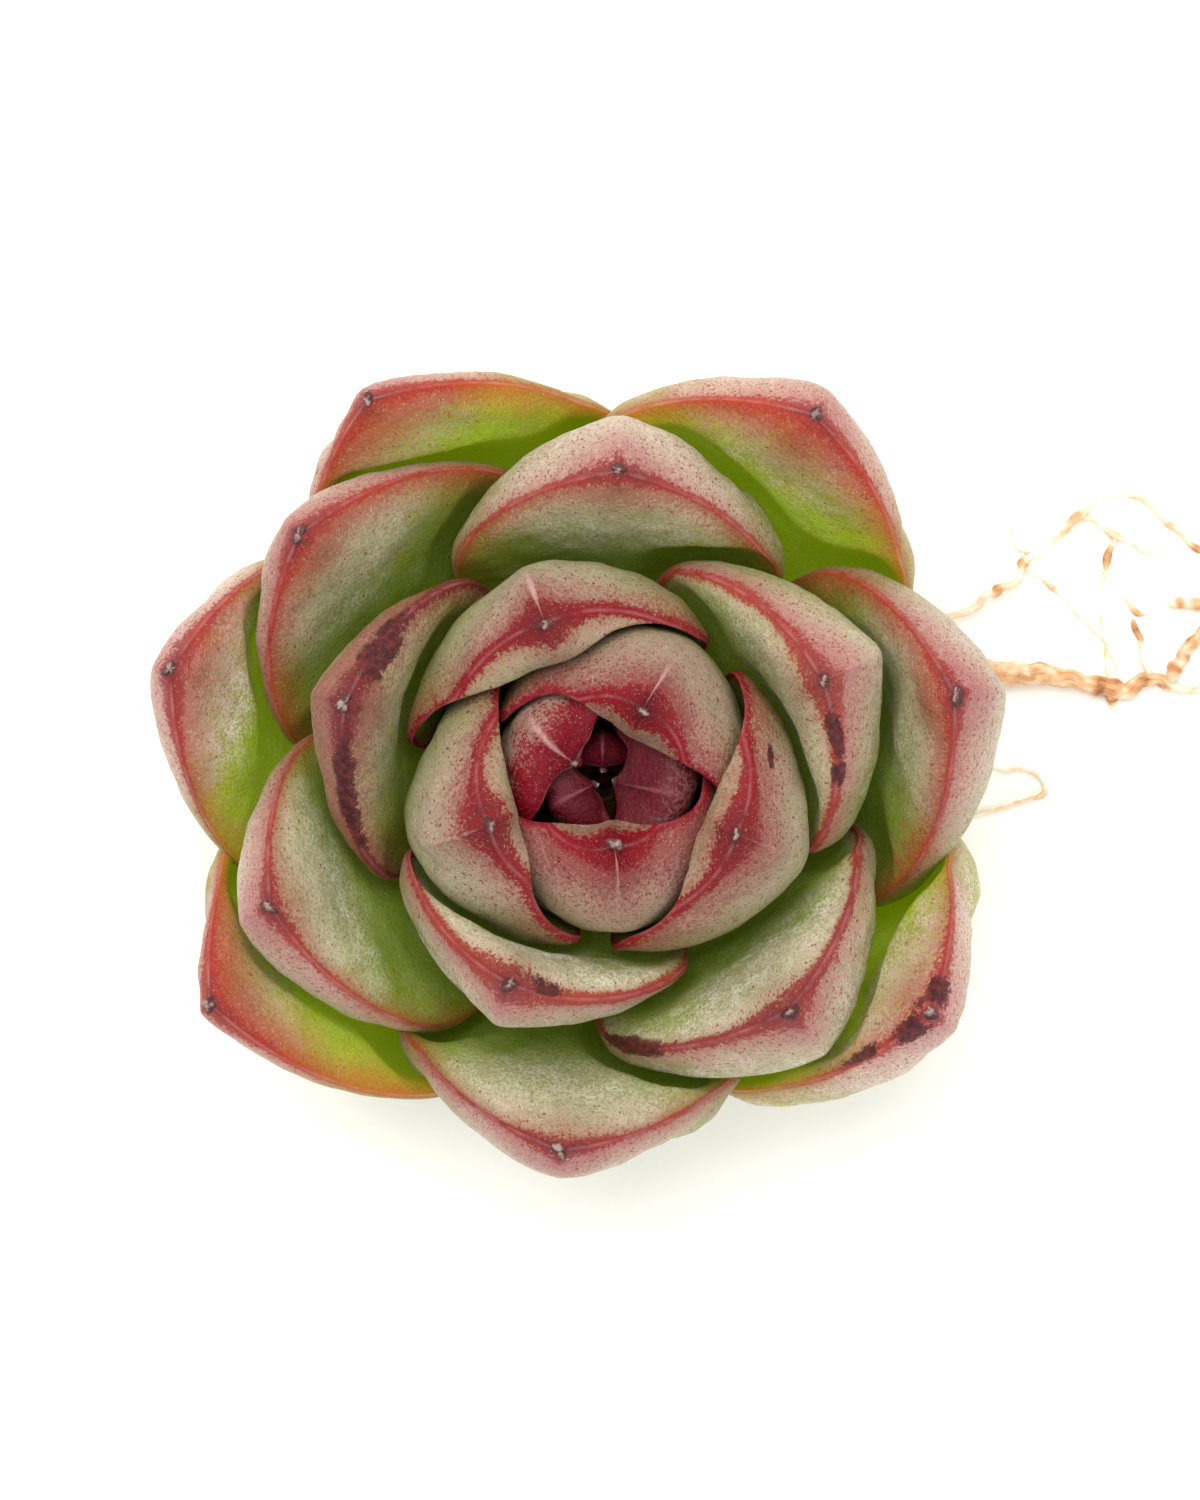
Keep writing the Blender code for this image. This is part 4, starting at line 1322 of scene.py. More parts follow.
@dataclass
class DressedLeaf:
    """A leaf's finished piece: its skin with the values its finish reads, and its dried point."""

    leaf: Leaf
    colouring: Colouring
    unevenness: float = 0.16  # mm
    swell_size: float = 7.0  # mm, from one swelling of the skin to the next
    point_radius: float = 0.62
    point_height: float = 0.8
    point_rows: int = 18
    point_sides: int = 30
    point_crumple: float = 1.3  # mm, its longest waves
    cloud_size: float = 5.0  # mm, from one cloud of colour to the next
    fleck_size: float = 1.6  # mm
    edge_width: float = 0.3
    thread_width: float = 0.11
    keel_width: float = 0.22
    keel_middle: float = 2.5  # mm from the tip
    keel_length: float = 3.4
    dark_tip: float = 3.0

    def __post_init__(self) -> None:
        """Starts the leaf's own random numbers."""
        self.draw = np.random.default_rng(Seeds.POINT_SIZES + self.leaf.number)

    def distances(self, points: Array) -> tuple[Array, Array, Array]:
        """Distances over the skin in mm, added up along the rings and from ring to ring.

        Args:
            points: The leaf's rings.

        Returns:
            To the nearer margin, to the tip, and to the middle line of the same face.
        """
        rows, sides, _ = points.shape
        step = np.linalg.norm(np.roll(points, -1, axis=1) - points, axis=2)
        run = np.concatenate([np.zeros((rows, 1)), np.cumsum(step, axis=1)], axis=1)
        here = run[:, :-1]
        half = run[:, sides // 2 : sides // 2 + 1]
        whole = run[:, -1:]
        first = np.minimum(here, half - here)
        second = np.minimum(here - half, whole - here)
        margin = np.where(here <= half, first, second)
        quarter = run[:, sides // 4 : sides // 4 + 1]
        three = run[:, 3 * sides // 4 : 3 * sides // 4 + 1]
        middle = np.abs(np.where(here <= half, here - quarter, here - three))
        rungs = np.linalg.norm(np.diff(points, axis=0), axis=2)
        rungs = np.concatenate([rungs, np.full((1, sides), 0.05)])
        to_tip = np.cumsum(rungs[::-1], axis=0)[::-1]
        return np.minimum(margin, to_tip), to_tip, middle

    def scars(self, along: Array, across: Array, face: Array, margin: Array) -> Array:
        """The scars' strength, which falls with the distance from each one's middle in its own half-sizes.

        Args:
            along: Share of the length.
            across: Place between the margins.
            face: 1 on the outer face, -1 on the inner.
            margin: Distance to the margin in mm.

        Returns:
            A strength from 0 to 1 for each point.
        """
        total = np.zeros_like(along)
        for blotch in BLOTCHES.get(self.leaf.number, ()):
            far = np.hypot((along - blotch.along) / blotch.length, (margin - blotch.inset) / blotch.breadth)
            strength = blotch.depth * np.clip(1.25 - 0.75 * far, 0.0, 1.0)
            strength = np.where(across * blotch.side >= 0, strength, 0.0)
            if blotch.face is not None:
                strength = np.where(face == blotch.face.value, strength, 0.0)
            total = np.maximum(total, strength)
        return total

    def values(self, points: Array, along: Array, across: Array, face: Array) -> dict[str, Array]:
        """The values that the leaf's finish reads at each point.

        The reds, the blush and the dots die away from the margin as powers of e, and swell by bells round
        the tip. The green rises smoothly away from the tip and the margins. The bloom keeps off the margins
        and off the greenest flesh, and soft waves shift them all.

        Args:
            points: The leaf's rings in mm.
            along: Share of the length.
            across: Place between the margins.
            face: 1 on the outer face, -1 on the inner.

        Returns:
            Values by attribute name.
        """
        c = self.colouring
        margin, to_tip, middle = self.distances(points)
        outer = face > 0
        number = self.leaf.number
        wavy = waves(points, self.cloud_size, Seeds.COLOUR_CLOUDS + number)
        wavy_fine = waves(points, self.fleck_size, Seeds.COLOUR_FLECKS + number)
        near_tip = bell(to_tip, c.tip_reach)
        grown = smooth_step((along - 0.3) / 0.35)
        band = np.where(outer, c.outer_band, c.inner_band) * (1.0 + 0.4 * wavy) + c.tip_band * near_tip
        band = np.maximum(band * (0.25 + 0.75 * grown), 0.05)
        fading_width = c.fading_width * (1.0 + 0.35 * wavy + 0.9 * near_tip)
        fading = c.fading * np.exp(-((margin / fading_width) ** 1.3)) * np.where(outer, 0.45, 1.0) * grown
        blush = np.where(outer, c.outer_blush, c.inner_blush)
        flush = blush * np.exp(-margin / (c.blush_reach * (1.0 + 0.7 * near_tip)))
        flush = flush + np.where(outer, 0.45, 0.4) * bell(to_tip, 1.3 * c.tip_reach)
        dots = np.where(outer, c.outer_dots, c.inner_dots)
        dots = dots * (np.exp(-margin / 4.0) * 0.9 + 0.8 * bell(to_tip, 2.2 * c.tip_reach) + 0.12)
        # green: how deep in the flesh a place is, which sets both the flesh colour and the painted glow
        green = smooth_step((to_tip - c.green_start) / c.green_reach)
        green = green * (1.0 - c.pale_margin * np.exp(-margin / 3.0)) + c.green
        green = green + np.where(outer, c.outer_green, 0.0)
        green = green + 0.12 * wavy + 0.35 * (1.0 - np.exp(-margin / 5.0)) * np.where(outer, 0.3, 1.0)
        keel = bell(middle, self.keel_width) * bell(to_tip - self.keel_middle, self.keel_length)
        rubbed_off = 0.8 * smooth_step((green - 0.5) / 0.4)
        inner_bloom = (0.7 if number < 10 else 1.0) * (1.0 - rubbed_off)
        bloom = c.bloom * smooth_step(margin / 1.5) * (0.6 + 0.4 * smooth_step(wavy + 0.5))
        return {
            "green": np.clip(green, 0.0, 1.0),
            "outer": smooth_step(0.5 + 2.5 * np.where(outer, margin, -margin)),
            "red": np.clip(1.0 - margin / band + 0.12 * wavy_fine, -1.0, 1.0),
            "fading": fading,
            "warm": np.clip(c.warm + 0.25 * wavy, 0.0, 1.0),
            "flush": flush,
            "dots": dots,
            "tip": bell(to_tip, self.dark_tip),
            "edge": bell(margin, self.edge_width) * grown,
            "thread": bell(margin, self.thread_width) * smooth_step((along - 0.45) / 0.2),
            "keel": np.where(outer, keel * KEEL_LINES.get(number, 0.0), 0.0),
            "bloom": bloom * np.where(outer, 1.0, inner_bloom),
            "scar": self.scars(along, across, face, margin),
            "tan": np.full_like(along, c.tan),
            "blade": np.stack([margin, to_tip + margin, np.full_like(along, 17.0 * number)], axis=-1),
        }

    def make(self, name: str, slot: Slot, node: str, finish: LeafFinish) -> bpy.types.Object:
        """Builds the leaf's piece.

        Args:
            name: The piece's name.
            slot: The record's slot.
            node: The solid it stands for.
            finish: The skin's finish.

        Returns:
            The piece.
        """
        points, along, across, face = self.leaf.rings()
        values = self.values(points, along, across, face)
        round_it = np.roll(points, -1, axis=1) - np.roll(points, 1, axis=1)
        out = np.cross(round_it, np.gradient(points, axis=0))
        out /= np.maximum(np.linalg.norm(out, axis=2, keepdims=True), 1e-9)
        rough = waves(points, self.swell_size, Seeds.SKIN_SWELLS + self.leaf.number)
        rough = rough * smooth_step(values["blade"][..., 0] / 2.0)
        rough = rough * self.unevenness * smooth_step((along - 0.1) / 0.2)
        points = points - out * rough[..., None]
        start = points[0].mean(axis=0)
        tip = points[-1].mean(axis=0)
        surface = Surface()
        values["dry"] = np.zeros_like(along)
        surface.add_tube(points, start, tip, values)
        back = points[-7].mean(axis=0)
        self.add_point(surface, tip, tip - back)
        return surface.piece(name, [finish.material(), DriedPointFinish().material()], slot, node)

    def add_point(self, surface: Surface, tip: Array, ahead: Array) -> None:
        """Adds the dried point: a squat lump on the tip, crumpled by waves of 1 mm and less.

        Args:
            surface: The surface being gathered.
            tip: The leaf's end.
            ahead: The way the leaf's end points.
        """
        ahead = ahead / np.linalg.norm(ahead)
        side = np.cross(np.array([0.0, 0.0, 1.0]), ahead)
        side /= np.linalg.norm(side)
        up = np.cross(ahead, side)
        shares = np.linspace(0.04, 0.96, self.point_rows)
        turns = np.linspace(0, TURN, self.point_sides, endpoint=False)
        share, turn = np.meshgrid(shares, turns, indexing="ij")
        size = (0.8 + 0.4 * self.draw.random()) * min(1.0, 0.25 + 0.13 * self.leaf.number)
        radius = size * self.point_radius * np.sin(math.pi * share**0.8) ** 0.55 * (1.0 - 0.3 * share)
        height = size * self.point_height * (share - 0.6)
        drum = np.stack([np.cos(turn) * 0.6, np.sin(turn) * 0.6, share * 0.8 + self.leaf.number], axis=-1)
        crumple = waves(drum, self.point_crumple, Seeds.POINT_CRUMPLES + self.leaf.number)
        radius = radius * (1.0 + 0.38 * crumple)
        height = height + 0.14 * crumple * share
        points = (
            tip
            + height[..., None] * ahead
            + (1.25 * radius * np.cos(turn))[..., None] * side
            + (0.85 * radius * np.sin(turn))[..., None] * up
        )
        values = {"dry": np.clip(share * 1.15 - 0.2 + 0.25 * crumple, 0.0, 1.0)}
        for key in surface.values:
            if key != "dry":
                vector = surface.values[key][0].ndim == 2
                values[key] = np.zeros(share.shape + ((3,) if vector else ()))
        start = points[0].mean(axis=0) - 0.02 * ahead
        end = points[-1].mean(axis=0) + 0.02 * ahead
        surface.add_tube(points, start, end, values, 1)


# the innermost leaves, crimson all over and darkened further as painted shade of the pit, with no light
# through them
HEART_SKIN = LeafFinish(
    "heart_leaf_skin",
    ((0.0, "#4c0d18"), (1.0, "#3a0a12")),
    crimson="#5c0816",
    scarlet="#5a0c14",
    deep="#2e040b",
    outer_flush="#5e0f1c",
    inner_flush="#4a0c16",
    dot="#3c0610",
    line="#96505a",
    bloom="#5e2630",
    bloom_share=0.25,
    keel="#a0626a",
    keel_share=0.4,
    glow=0.0,
    fleck_share=0.05,
)
# young leaves: cream and olive under a thin bloom, with a broad crimson band and a fine spray of dots
YOUNG_SKIN = LeafFinish(
    "young_waxy_leaf_skin",
    ((0.0, "#927b6b"), (0.35, "#8c7f66"), (0.65, "#797e50"), (1.0, "#5b681d")),
    crimson="#780013",
    scarlet="#821318",
    deep="#4a0612",
    outer_flush="#82292f",
    inner_flush="#8c4444",
    dot="#6a0c1a",
    line="#b87a7e",
    bloom="#b0a096",
    bloom_share=0.4,
    band_share=1.0,
)
# half-grown leaves: cooler and paler, more bloom, the band narrower
MIDDLE_SKIN = LeafFinish(
    "half_grown_waxy_leaf_skin",
    ((0.0, "#9f8d7a"), (0.35, "#959070"), (0.65, "#7d8753"), (1.0, "#5b701c")),
    crimson="#740012",
    scarlet="#801912",
    deep="#4a0812",
    outer_flush="#8a3f3b",
    inner_flush="#945844",
    dot="#6e121a",
    line="#b4827e",
    bloom="#b9b3a6",
    bloom_share=0.5,
    band_share=0.95,
)
# grown leaves: grey-green under a thick frosty bloom, with a thin margin between crimson and scarlet
GROWN_SKIN = LeafFinish(
    "grown_waxy_leaf_skin",
    ((0.0, "#b5a88e"), (0.35, "#9c9a70"), (0.65, "#7e8a42"), (1.0, "#5a7600")),
    crimson="#76101c",
    scarlet="#8f2716",
    deep="#56101c",
    outer_flush="#ab6a6e",
    inner_flush="#865030",
    dot="#7c1e26",
    line="#be8e8c",
    bloom="#d6d1c4",
    bloom_share=0.68,
    # a faint painted glow in the leaf's depth
    painted_glow_strength=0.03,
    band_share=0.85,
    blush_share=0.3,
)
# the oldest leaves: yellow-green in their depth, partly the flesh's colour and partly painted glow of light
# let through, orange-red and pink towards the margins
RIM_SKIN = LeafFinish(
    "old_waxy_leaf_skin",
    ((0.0, "#c4b49a"), (0.3, "#9f9558"), (0.6, "#8a9420"), (1.0, "#7a9a00")),
    crimson="#82161e",
    scarlet="#982612",
    deep="#62101c",
    outer_flush="#b6747a",
    inner_flush="#965234",
    dot="#822630",
    line="#c8988e",
    bloom="#e2dad0",
    bloom_share=0.72,
    # a strong painted glow in the leaf's depth, standing in for light let through the rim leaves
    painted_glow_strength=0.17,
    band_share=0.8,
    blush_share=0.28,
)
SKINS: tuple[tuple[int, Slot, LeafFinish], ...] = (  # each up to this leaf
    (3, Slot.LEAF_INNER, HEART_SKIN),
    (6, Slot.LEAF_INNER, YOUNG_SKIN),
    (9, Slot.LEAF_MIDDLE, MIDDLE_SKIN),
    (18, Slot.LEAF_OUTER, GROWN_SKIN),
    (23, Slot.LEAF_OUTER, RIM_SKIN),
)


@dataclass
class Rosette:
    """The head of leaves, numbered outwards from the youngest."""

    axis: Vector
    count: int = 23
    lift: float = 2.3  # mm, raises the head so that its lowest leaves clear the surface
    build: LeafBuild = field(default_factory=LeafBuild)
    bowls: Bowls = field(default_factory=Bowls)
    room: Room = field(default_factory=Room)

    def make(self) -> None:
        """Grows the leaves from the middle outwards and makes their pieces."""
        for number in range(1, self.count + 1):
            leaf = Leaf(number, self.build, self.bowls, self.room, self.lift)
            slot, finish = next((slot, skin) for last, slot, skin in SKINS if number <= last)
            dressed = DressedLeaf(leaf, colouring_of(number))
            made = dressed.make(f"leaf_{number:02d}_skin", slot, f"leaf_{number:02d}", finish)
            place(made, self.axis)


def place(made: bpy.types.Object, axis: Vector) -> None:
    """Moves a mesh built round the rosette's axis to the axis's own place.

    Args:
        made: The mesh's object, at the origin.
        axis: The axis's place in the frame.
    """
    mesh = made.data
    co = np.zeros(len(mesh.vertices) * 3, np.float32)
    mesh.vertices.foreach_get("co", co)
    co = co.reshape(-1, 3) + np.array([axis.x, axis.y, 0.0], np.float32)
    mesh.vertices.foreach_set("co", co.ravel())
    mesh.update()


# --- the stem, the roots and the bud ---


@dataclass(frozen=True)
class Strand:
    """One root: points (x, y, lift of its underside) in mm from the rosette's axis, and its radii."""

    path: tuple[tuple[float, float, float], ...]
    start_radius: float
    end_radius: float
    knots: tuple[float, ...]  # shares of its length where it swells, dark


STRANDS: tuple[Strand, ...] = (
    Strand(  # the main root
        (
            (0.5, 0.1, 0.3), (4, 1, 0.1), (10, 2.8, 0), (20, 6, 0), (28, 8.6, 0.1), (33.5, 9.4, 0.2),
            (37.9, 9.4, 0.3), (41, 9.0, 0.4), (43.4, 8.3, 0.4), (45, 8.2, 0.3), (46.4, 7.8, 0.4),
            (47.8, 8.8, 0.5), (48.9, 9.0, 0.4), (50.3, 8.3, 0.3), (52.6, 7.8, 0.2),
        ),
        2.0, 0.25, (0.825, 0.85, 0.885, 0.91, 0.94),
    ),
    Strand(  # its thin end
        ((49.5, 8.6, 0.5), (52.5, 8.0, 0.3), (56, 9.0, 0.2), (59.5, 8.6, 0.1), (61.5, 10.2, 0)),
        0.32, 0.15, (0.5,),
    ),
    Strand(  # the branch that climbs from its end
        (
            (49.9, 8.6, 0.4), (51, 10.3, 0.5), (51.6, 11.7, 0.6), (52.4, 12.5, 0.7), (53.6, 14, 0.6),
            (54.2, 17, 0.4), (56.5, 20.5, 0.2),
        ),
        0.5, 0.25, (0.1, 0.2, 0.3, 0.7),
    ),
    Strand(
        ((54.6, 16.4, 0.5), (52.9, 15.6, 0.4), (51.2, 15.8, 0.3), (50.0, 15.4, 0.2)),
        0.4, 0.3, (0.45, 0.8),
    ),
    Strand(  # the long arc
        (
            (9.5, 2.8, 1), (18, 8, 0.6), (26, 12.5, 0.6), (32.4, 15.0, 0.7), (33.7, 16.2, 0.7),
            (35.5, 17.0, 0.8), (36.6, 17.5, 0.8), (37.0, 19.0, 0.8), (39.2, 20.8, 0.6), (40.8, 22.1, 0.5),
            (42.6, 23.8, 0.5), (44.3, 25.0, 0.4), (46.1, 25.4, 0.4), (48.1, 24.7, 0.3), (50.1, 22.8, 0.3),
            (51.8, 21.2, 0.2), (52.9, 20.0, 0.1),
        ),
        0.42, 0.2, (0.55, 0.62, 0.74, 0.93, 0.99),
    ),
    Strand(
        ((42, 23.3, 0.5), (43.4, 23.0, 0.3), (45.4, 21.6, 0.3), (47.4, 20.5, 0.2), (49.6, 19.8, 0.1)),
        0.22, 0.13, (0.42, 0.5),
    ),
    Strand(
        (
            (45.4, 21.6, 0.3), (44.9, 20.4, 0.2), (44.7, 19.4, 0.2), (44.2, 17.6, 0.2), (43.9, 15.9, 0.2),
            (44.3, 13.5, 0.3), (44.8, 9.0, 0.8),
        ),
        0.2, 0.13, (0.13, 0.18),
    ),
    Strand(
        (
            (36.9, 19.0, 0.8), (39.5, 17.4, 0.3), (41.7, 15.0, 0.2), (43.9, 12.8, 0.3), (45.2, 10.6, 0.4),
            (45.8, 8.6, 0.8),
        ),
        0.13, 0.1, (0.25,),
    ),
    Strand(((35.9, 22.4, 0.1), (36.6, 20.9, 0.3), (37.9, 19.3, 0.7)), 0.1, 0.14, (0.9,)),
    Strand(((46.2, 15.9, 0.1), (47.3, 14.9, 0.1), (48.6, 14.6, 0.1)), 0.16, 0.12, (0.5,)),
    Strand(
        ((46.9, 14.3, 0.2), (47.3, 13.2, 0.2), (47.7, 12.0, 0.3), (48.0, 10.6, 0.4), (48.3, 9.0, 0.7)),
        0.14, 0.3, (0.15, 0.32),
    ),
    Strand(
        (
            (27, 5.0, 1), (31, 2.6, 0.3), (35.1, 1.0, 0.2), (37.0, 1.0, 0.3), (38.6, 0.2, 0.4),
            (39.2, -1.0, 0.4), (38.1, -1.5, 0.3), (35.9, -2.3, 0.2), (34.2, -2.7, 0.2), (30.5, -3.4, 0.1),
            (24, -4.4, 0.4), (16, -3.0, 1),
        ),
        0.2, 0.15, (0.38,),
    ),
    Strand(((45.0, 7.8, 0.5), (45.2, 6.9, 0.2), (45.4, 6.1, 0.1)), 0.4, 0.15, (0.3,)),
)


def smooth_path(points: Array, count: int, steps: int = 24) -> Array:
    """A path through the points at even steps, by Catmull-Rom cubics sampled finely and spaced again.

    Args:
        points: The points it passes.
        count: How many points to return.
        steps: How finely each stretch is sampled first.

    Returns:
        The path's points.
    """
    padded = np.vstack([2 * points[0] - points[1], points, 2 * points[-1] - points[-2]])
    t = np.linspace(0, 1, steps, endpoint=False)[:, None, None]
    a, b, c, d = (padded[k : len(padded) - 3 + k][None] for k in range(4))
    bend = (2 * a - 5 * b + 4 * c - d) * t**2
    twist = (3 * b - a - 3 * c + d) * t**3
    curve = 0.5 * (2 * b + (c - a) * t + bend + twist)
    curve = np.vstack([np.swapaxes(curve, 0, 1).reshape(-1, points.shape[1]), points[-1:]])
    run = np.concatenate([[0.0], np.cumsum(np.linalg.norm(np.diff(curve, axis=0), axis=1))])
    even = np.linspace(0, run[-1], count)
    return np.stack([np.interp(even, run, curve[:, k]) for k in range(points.shape[1])], axis=1)


@dataclass
class RootSystem:
    """The short stem and the roots that trail from it, as one piece."""

    axis: Vector
    stem_profile: tuple[tuple[float, float], ...] = (  # height and radius
        (0.3, 0.0), (0.35, 1.4), (1.4, 2.6), (3.0, 3.0), (8.0, 3.0), (14.0, 2.8), (18.0, 2.2), (20.4, 0.0),
    )
    stem_rows: int = 90
    stem_sides: int = 64
    stem_knot: float = 0.3  # how dark the stem is
    scar_height: float = 0.12  # mm
    row_step: float = 0.25  # mm along a root from ring to ring
    least_rows: int = 24
    main_sides: int = 32
    fine_sides: int = 14
    wobble: float = 0.16  # mm
    wobble_size: float = 2.6
    lump_height: float = 0.10  # as shares of the radius, like the next two
    grit_height: float = 0.05
    groove_depth: float = 0.02
    lump_size: float = 1.6  # mm
    grit_size: float = 0.7
    grooves: int = 5
    floor_gap: float = 0.02

    def add_stem(self, surface: Surface) -> None:
        """Adds the stem: its profile turned round the axis, with old leaf scars as rings of small waves.

        Args:
            surface: The surface being gathered.
        """
        z, r = np.array(self.stem_profile).T
        heights = np.linspace(z[0] + 0.02, z[-1] - 0.05, self.stem_rows)
        turn = np.linspace(0, TURN, self.stem_sides, endpoint=False)
        h, a = np.meshgrid(heights, turn, indexing="ij")
        radius = np.interp(h, z, r)
        radius = radius + self.scar_height * np.sin(h * 4.0 + 2 * np.sin(2 * a)) * smooth_step(radius / 2.0)
        points = np.stack([radius * np.cos(a), radius * np.sin(a), h], axis=-1)
        values = {
            "knot": np.full_like(h, self.stem_knot),
            "fine_root": np.zeros_like(h),
            "strand": np.stack([radius * a, h, np.full_like(h, 90.0)], axis=-1),
        }
        start = np.array([0.0, 0.0, z[0]])
        surface.add_tube(points, start, np.array([0.0, 0.0, z[-1]]), values)

    def add_strand(self, surface: Surface, number: int, strand: Strand) -> None:
        """Adds a root: a circle carried along its path, swollen at knots, wrinkled and closed by round ends.

        Args:
            surface: The surface being gathered.
            number: Which root, for its own unevenness.
            strand: Its path and radii.
        """
        path = np.array(strand.path)
        length = np.linalg.norm(np.diff(path[:, :2], axis=0), axis=1).sum()
        rows = max(int(length / self.row_step), self.least_rows)
        sides = self.main_sides if strand.start_radius > 1 else self.fine_sides
        draw = np.random.default_rng(Seeds.ROOT_KNOTS + number)
        middle = smooth_path(path, rows)
        share = np.linspace(0, 1, rows)
        run = share * length
        radius = strand.start_radius + (strand.end_radius - strand.start_radius) * share**1.5
        knot = np.zeros(rows)
        for at in strand.knots:
            knot = knot + draw.uniform(0.6, 1.0) * bell(run - at * length, draw.uniform(0.4, 0.7))
        knot = np.clip(knot, 0, 1)
        from_end = (1 - np.minimum(run, length - run) / radius).clip(0, 1)
        ends = np.sqrt(np.clip(1 - from_end**2, 0.02, 1))
        seeds = [Seeds.ROOT_WOBBLE + number + k for k in range(3)]
        wobble = np.stack([waves(middle + 50.0, self.wobble_size, seed) for seed in seeds], axis=1)
        wobble = wobble * np.array([1.0, 1.0, 0.4]) * smooth_step(share / 0.05)[:, None]
        middle = middle + self.wobble * wobble
        middle[:, 2] += radius
        ahead = np.gradient(middle, axis=0)
        ahead /= np.linalg.norm(ahead, axis=1, keepdims=True)
        side = np.cross([0.0, 0.0, 1.0], ahead)
        side /= np.linalg.norm(side, axis=1, keepdims=True)
        up = np.cross(ahead, side)
        turn = np.linspace(0, TURN, sides, endpoint=False)
        swell = knot * (0.25 * radius + 0.12)
        size = ((radius + swell) * ends)[:, None] * np.ones(sides)[None]
        ring = np.cos(turn)[None, :, None] * side[:, None] + np.sin(turn)[None, :, None] * up[:, None]
        points = middle[:, None] + size[..., None] * ring
        lumps = self.lump_height * waves(points, self.lump_size, Seeds.ROOT_LUMPS + number)
        grit = self.grit_height * waves(points, self.grit_size, Seeds.ROOT_GRIT + number)
        grooves = self.groove_depth * np.sin(turn * self.grooves + 3 * np.sin(run / 3.0)[:, None])
        points = points + ring * (size * (lumps + grit + grooves))[..., None]
        points[..., 2] = np.maximum(points[..., 2], self.floor_gap)
        across = np.broadcast_to(turn[None] * strand.start_radius, size.shape)
        along = np.repeat(run[:, None], sides, axis=1)
        values = {
            "knot": np.repeat(knot[:, None], sides, axis=1),
            "fine_root": np.repeat(np.clip(1.2 - 1.6 * radius, 0, 1)[:, None], sides, axis=1),
            "strand": np.stack([across, along, np.full_like(size, 9.0 * number)], axis=-1),
        }
        start = points[0].mean(axis=0) - 0.02 * ahead[0]
        surface.add_tube(points, start, points[-1].mean(axis=0) + 0.02 * ahead[-1], values)

    def make(self) -> None:
        """Makes the stem and roots as one piece."""
        surface = Surface()
        self.add_stem(surface)
        for number, strand in enumerate(STRANDS):
            self.add_strand(surface, number, strand)
        made = surface.piece("stem_and_roots", [RootFinish().material()], Slot.ROOT, "stem_with_roots")
        place(made, self.axis)


@dataclass
class Bud:
    """The growing bud that closes the rosette's middle: a small turned spindle."""

    axis: Vector
    profile: tuple[tuple[float, float], ...] = (  # height and radius
        (21.6, 0.0), (21.8, 0.5), (23.5, 0.8), (26.0, 0.65), (28.0, 0.35), (29.2, 0.0),
    )
    rows: int = 60
    sides: int = 40
    folds: float = 0.06  # how deep its two soft folds are, as a share of the radius

    def make(self) -> None:
        """Turns the profile round the axis and dresses it as the youngest leaf skin."""
        z, r = np.array(self.profile).T
        heights = np.linspace(z[0] + 0.02, z[-1] - 0.05, self.rows)
        turn = np.linspace(0, TURN, self.sides, endpoint=False)
        h, a = np.meshgrid(heights, turn, indexing="ij")
        radius = np.interp(h, z, r) * (1 + self.folds * np.sin(2 * a + h))
        points = np.stack([radius * np.cos(a), radius * np.sin(a), h], axis=-1)
        levels = {"green": 0.3, "red": 0.8, "flush": 0.8, "dots": 0.3, "tip": 1.0}
        values = {name: np.full_like(h, level) for name, level in levels.items()}
        values["blade"] = np.stack([radius * a, h, np.full_like(h, 5.0)], axis=-1)
        surface = Surface()
        surface.add_tube(points, np.array([0.0, 0.0, z[0]]), np.array([0.0, 0.0, z[-1]]), values)
        # the bud wears the heart skin, whose dark colours are partly painted shade of the pit
        place(surface.piece("growing_bud", [HEART_SKIN.material()], Slot.BUD, "bud"), self.axis)


# --- the stage ---


@dataclass(frozen=True)
class Lamp:
    """A square soft light."""

    name: str
    spot: tuple[float, float, float]  # mm from the rosette's foot
    size: float  # mm
    power: float  # watts
    colour: str


LAMPS = (
    Lamp("key", (-150.0, 450.0, 900.0), 800.0, 9.0, "#fffdf8"),
    Lamp("fill", (400.0, -500.0, 700.0), 900.0, 2.5, "#f6f9ff"),
)


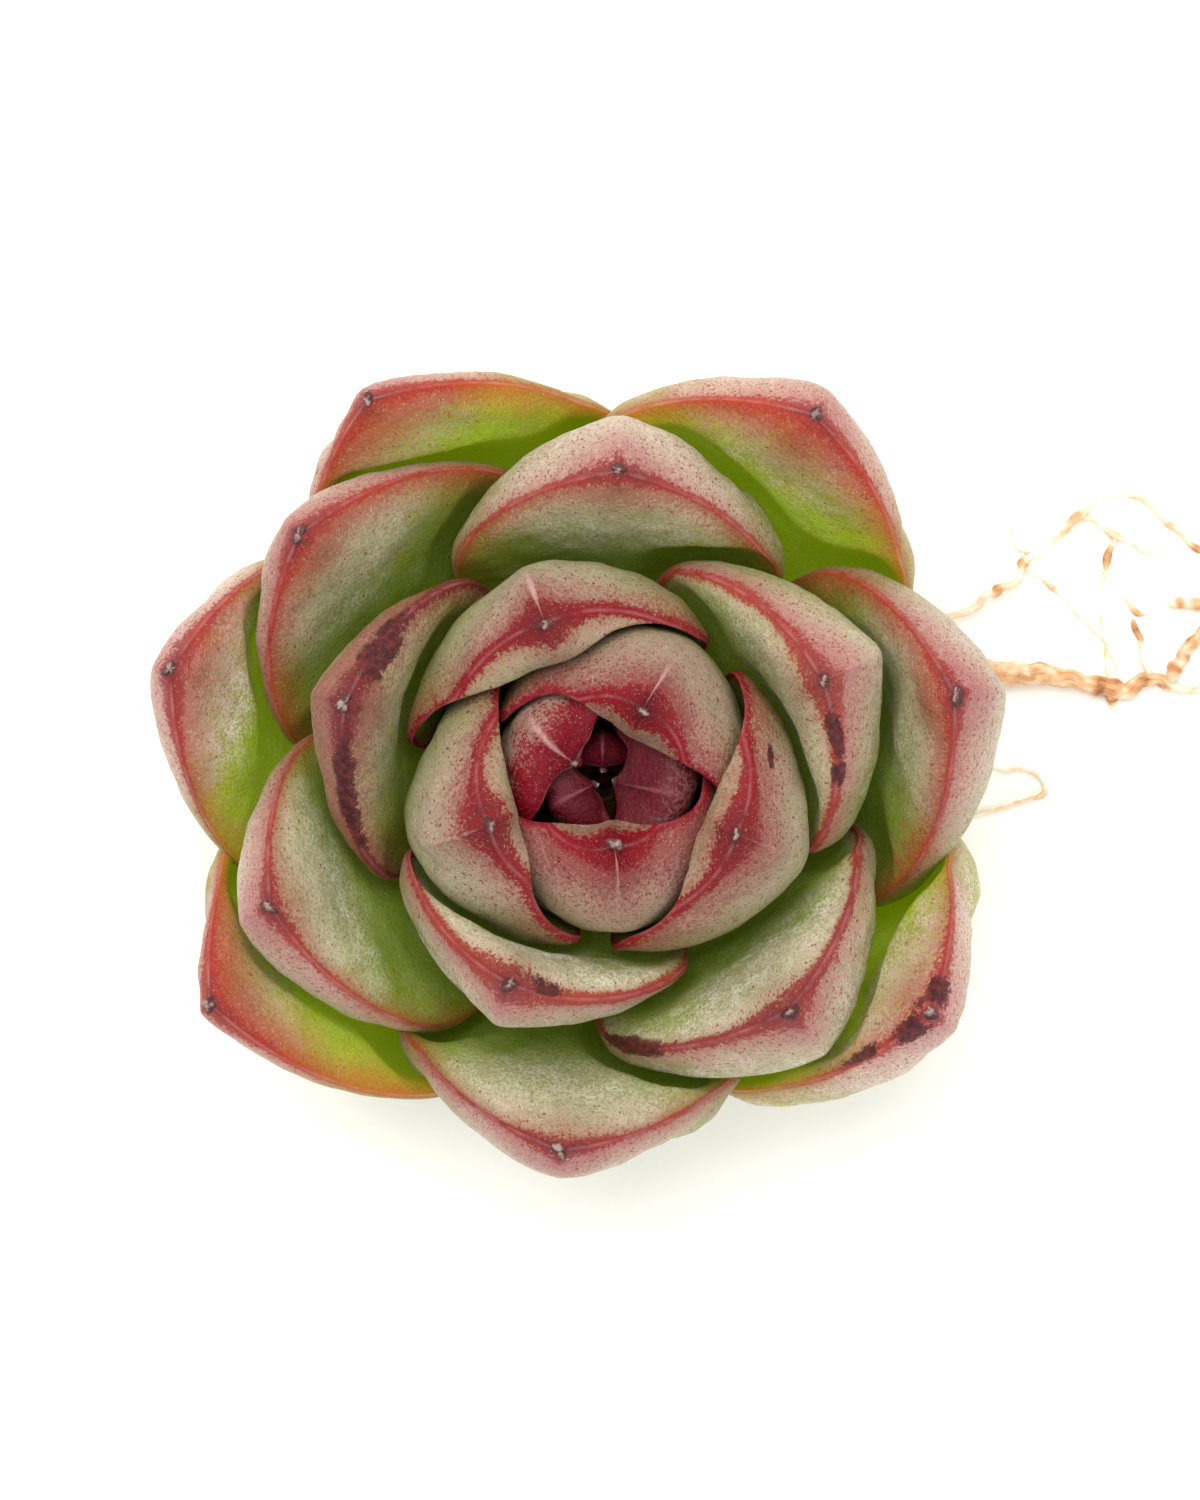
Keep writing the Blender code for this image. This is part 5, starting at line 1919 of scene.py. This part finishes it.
@dataclass
class Stage:
    """The plain floor, the soft lights and the camera straight above the rosette."""

    axis: Vector
    camera_height: float = 430.0  # mm
    lens: float = 116.4
    sensor: float = 36.0
    shift: tuple[float, float] = (-0.002, 0.02)  # leaves room for the roots
    floor_size: float = 4.0  # m
    aim_height: float = 0.02  # m
    surroundings: str = "#fdfdff"
    surroundings_strength: float = 0.95

    def add_floor(self) -> None:
        """Lays a square of matt white paper at z = 0."""
        mesh = bpy.data.meshes.new("floor")
        half = self.floor_size / 2
        corners = [(-half, -half, 0.0), (half, -half, 0.0), (half, half, 0.0), (-half, half, 0.0)]
        mesh.from_pydata(corners, [], [(0, 1, 2, 3)])
        mesh.materials.append(StageFinish().material())
        floor = bpy.data.objects.new("floor", mesh)
        bpy.context.scene.collection.objects.link(floor)

    def add_lamp(self, lamp: Lamp) -> None:
        """Adds a square soft light that faces the rosette.

        Args:
            lamp: Its place, size and light.
        """
        light = bpy.data.lights.new(lamp.name, "AREA")
        light.size = lamp.size * MM
        light.energy = lamp.power
        light.color = linear(lamp.colour)[:3]
        made = bpy.data.objects.new(lamp.name, light)
        made.location = Vector(lamp.spot) * MM + Vector((self.axis.x, self.axis.y, 0.0))
        aim = Vector((self.axis.x, self.axis.y, self.aim_height)) - made.location
        made.rotation_euler = aim.to_track_quat("-Z", "Y").to_euler()
        bpy.context.scene.collection.objects.link(made)

    def add_camera(self) -> None:
        """Adds the camera, looking straight down with +Y up in its view."""
        data = bpy.data.cameras.new("camera")
        data.lens = self.lens
        data.sensor_width = self.sensor
        data.shift_x, data.shift_y = self.shift
        data.clip_start = 0.01
        data.clip_end = 20.0
        camera = bpy.data.objects.new("camera", data)
        camera.location = (self.axis.x, self.axis.y, self.camera_height * MM)
        bpy.context.scene.collection.objects.link(camera)
        bpy.context.scene.camera = camera

    def make(self) -> None:
        """Sets up the floor, lights, surroundings and camera."""
        self.add_floor()
        for lamp in LAMPS:
            self.add_lamp(lamp)
        world = bpy.data.worlds.new("soft_white_surroundings")
        world.use_nodes = True
        background = world.node_tree.nodes["Background"]
        background.inputs["Color"].default_value = linear(self.surroundings)
        background.inputs["Strength"].default_value = self.surroundings_strength
        bpy.context.scene.world = world
        self.add_camera()
        bpy.context.scene.view_settings.view_transform = "Standard"


def main() -> None:
    """Builds the rosette, its bud, its roots and the stage, in that order."""
    logging.basicConfig(level=logging.INFO, format="%(message)s")
    low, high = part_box("bud")
    axis = (low + high) / 2
    Rosette(axis).make()
    Bud(axis).make()
    RootSystem(axis).make()
    Stage(axis).make()


if __name__ == "__main__":
    main()
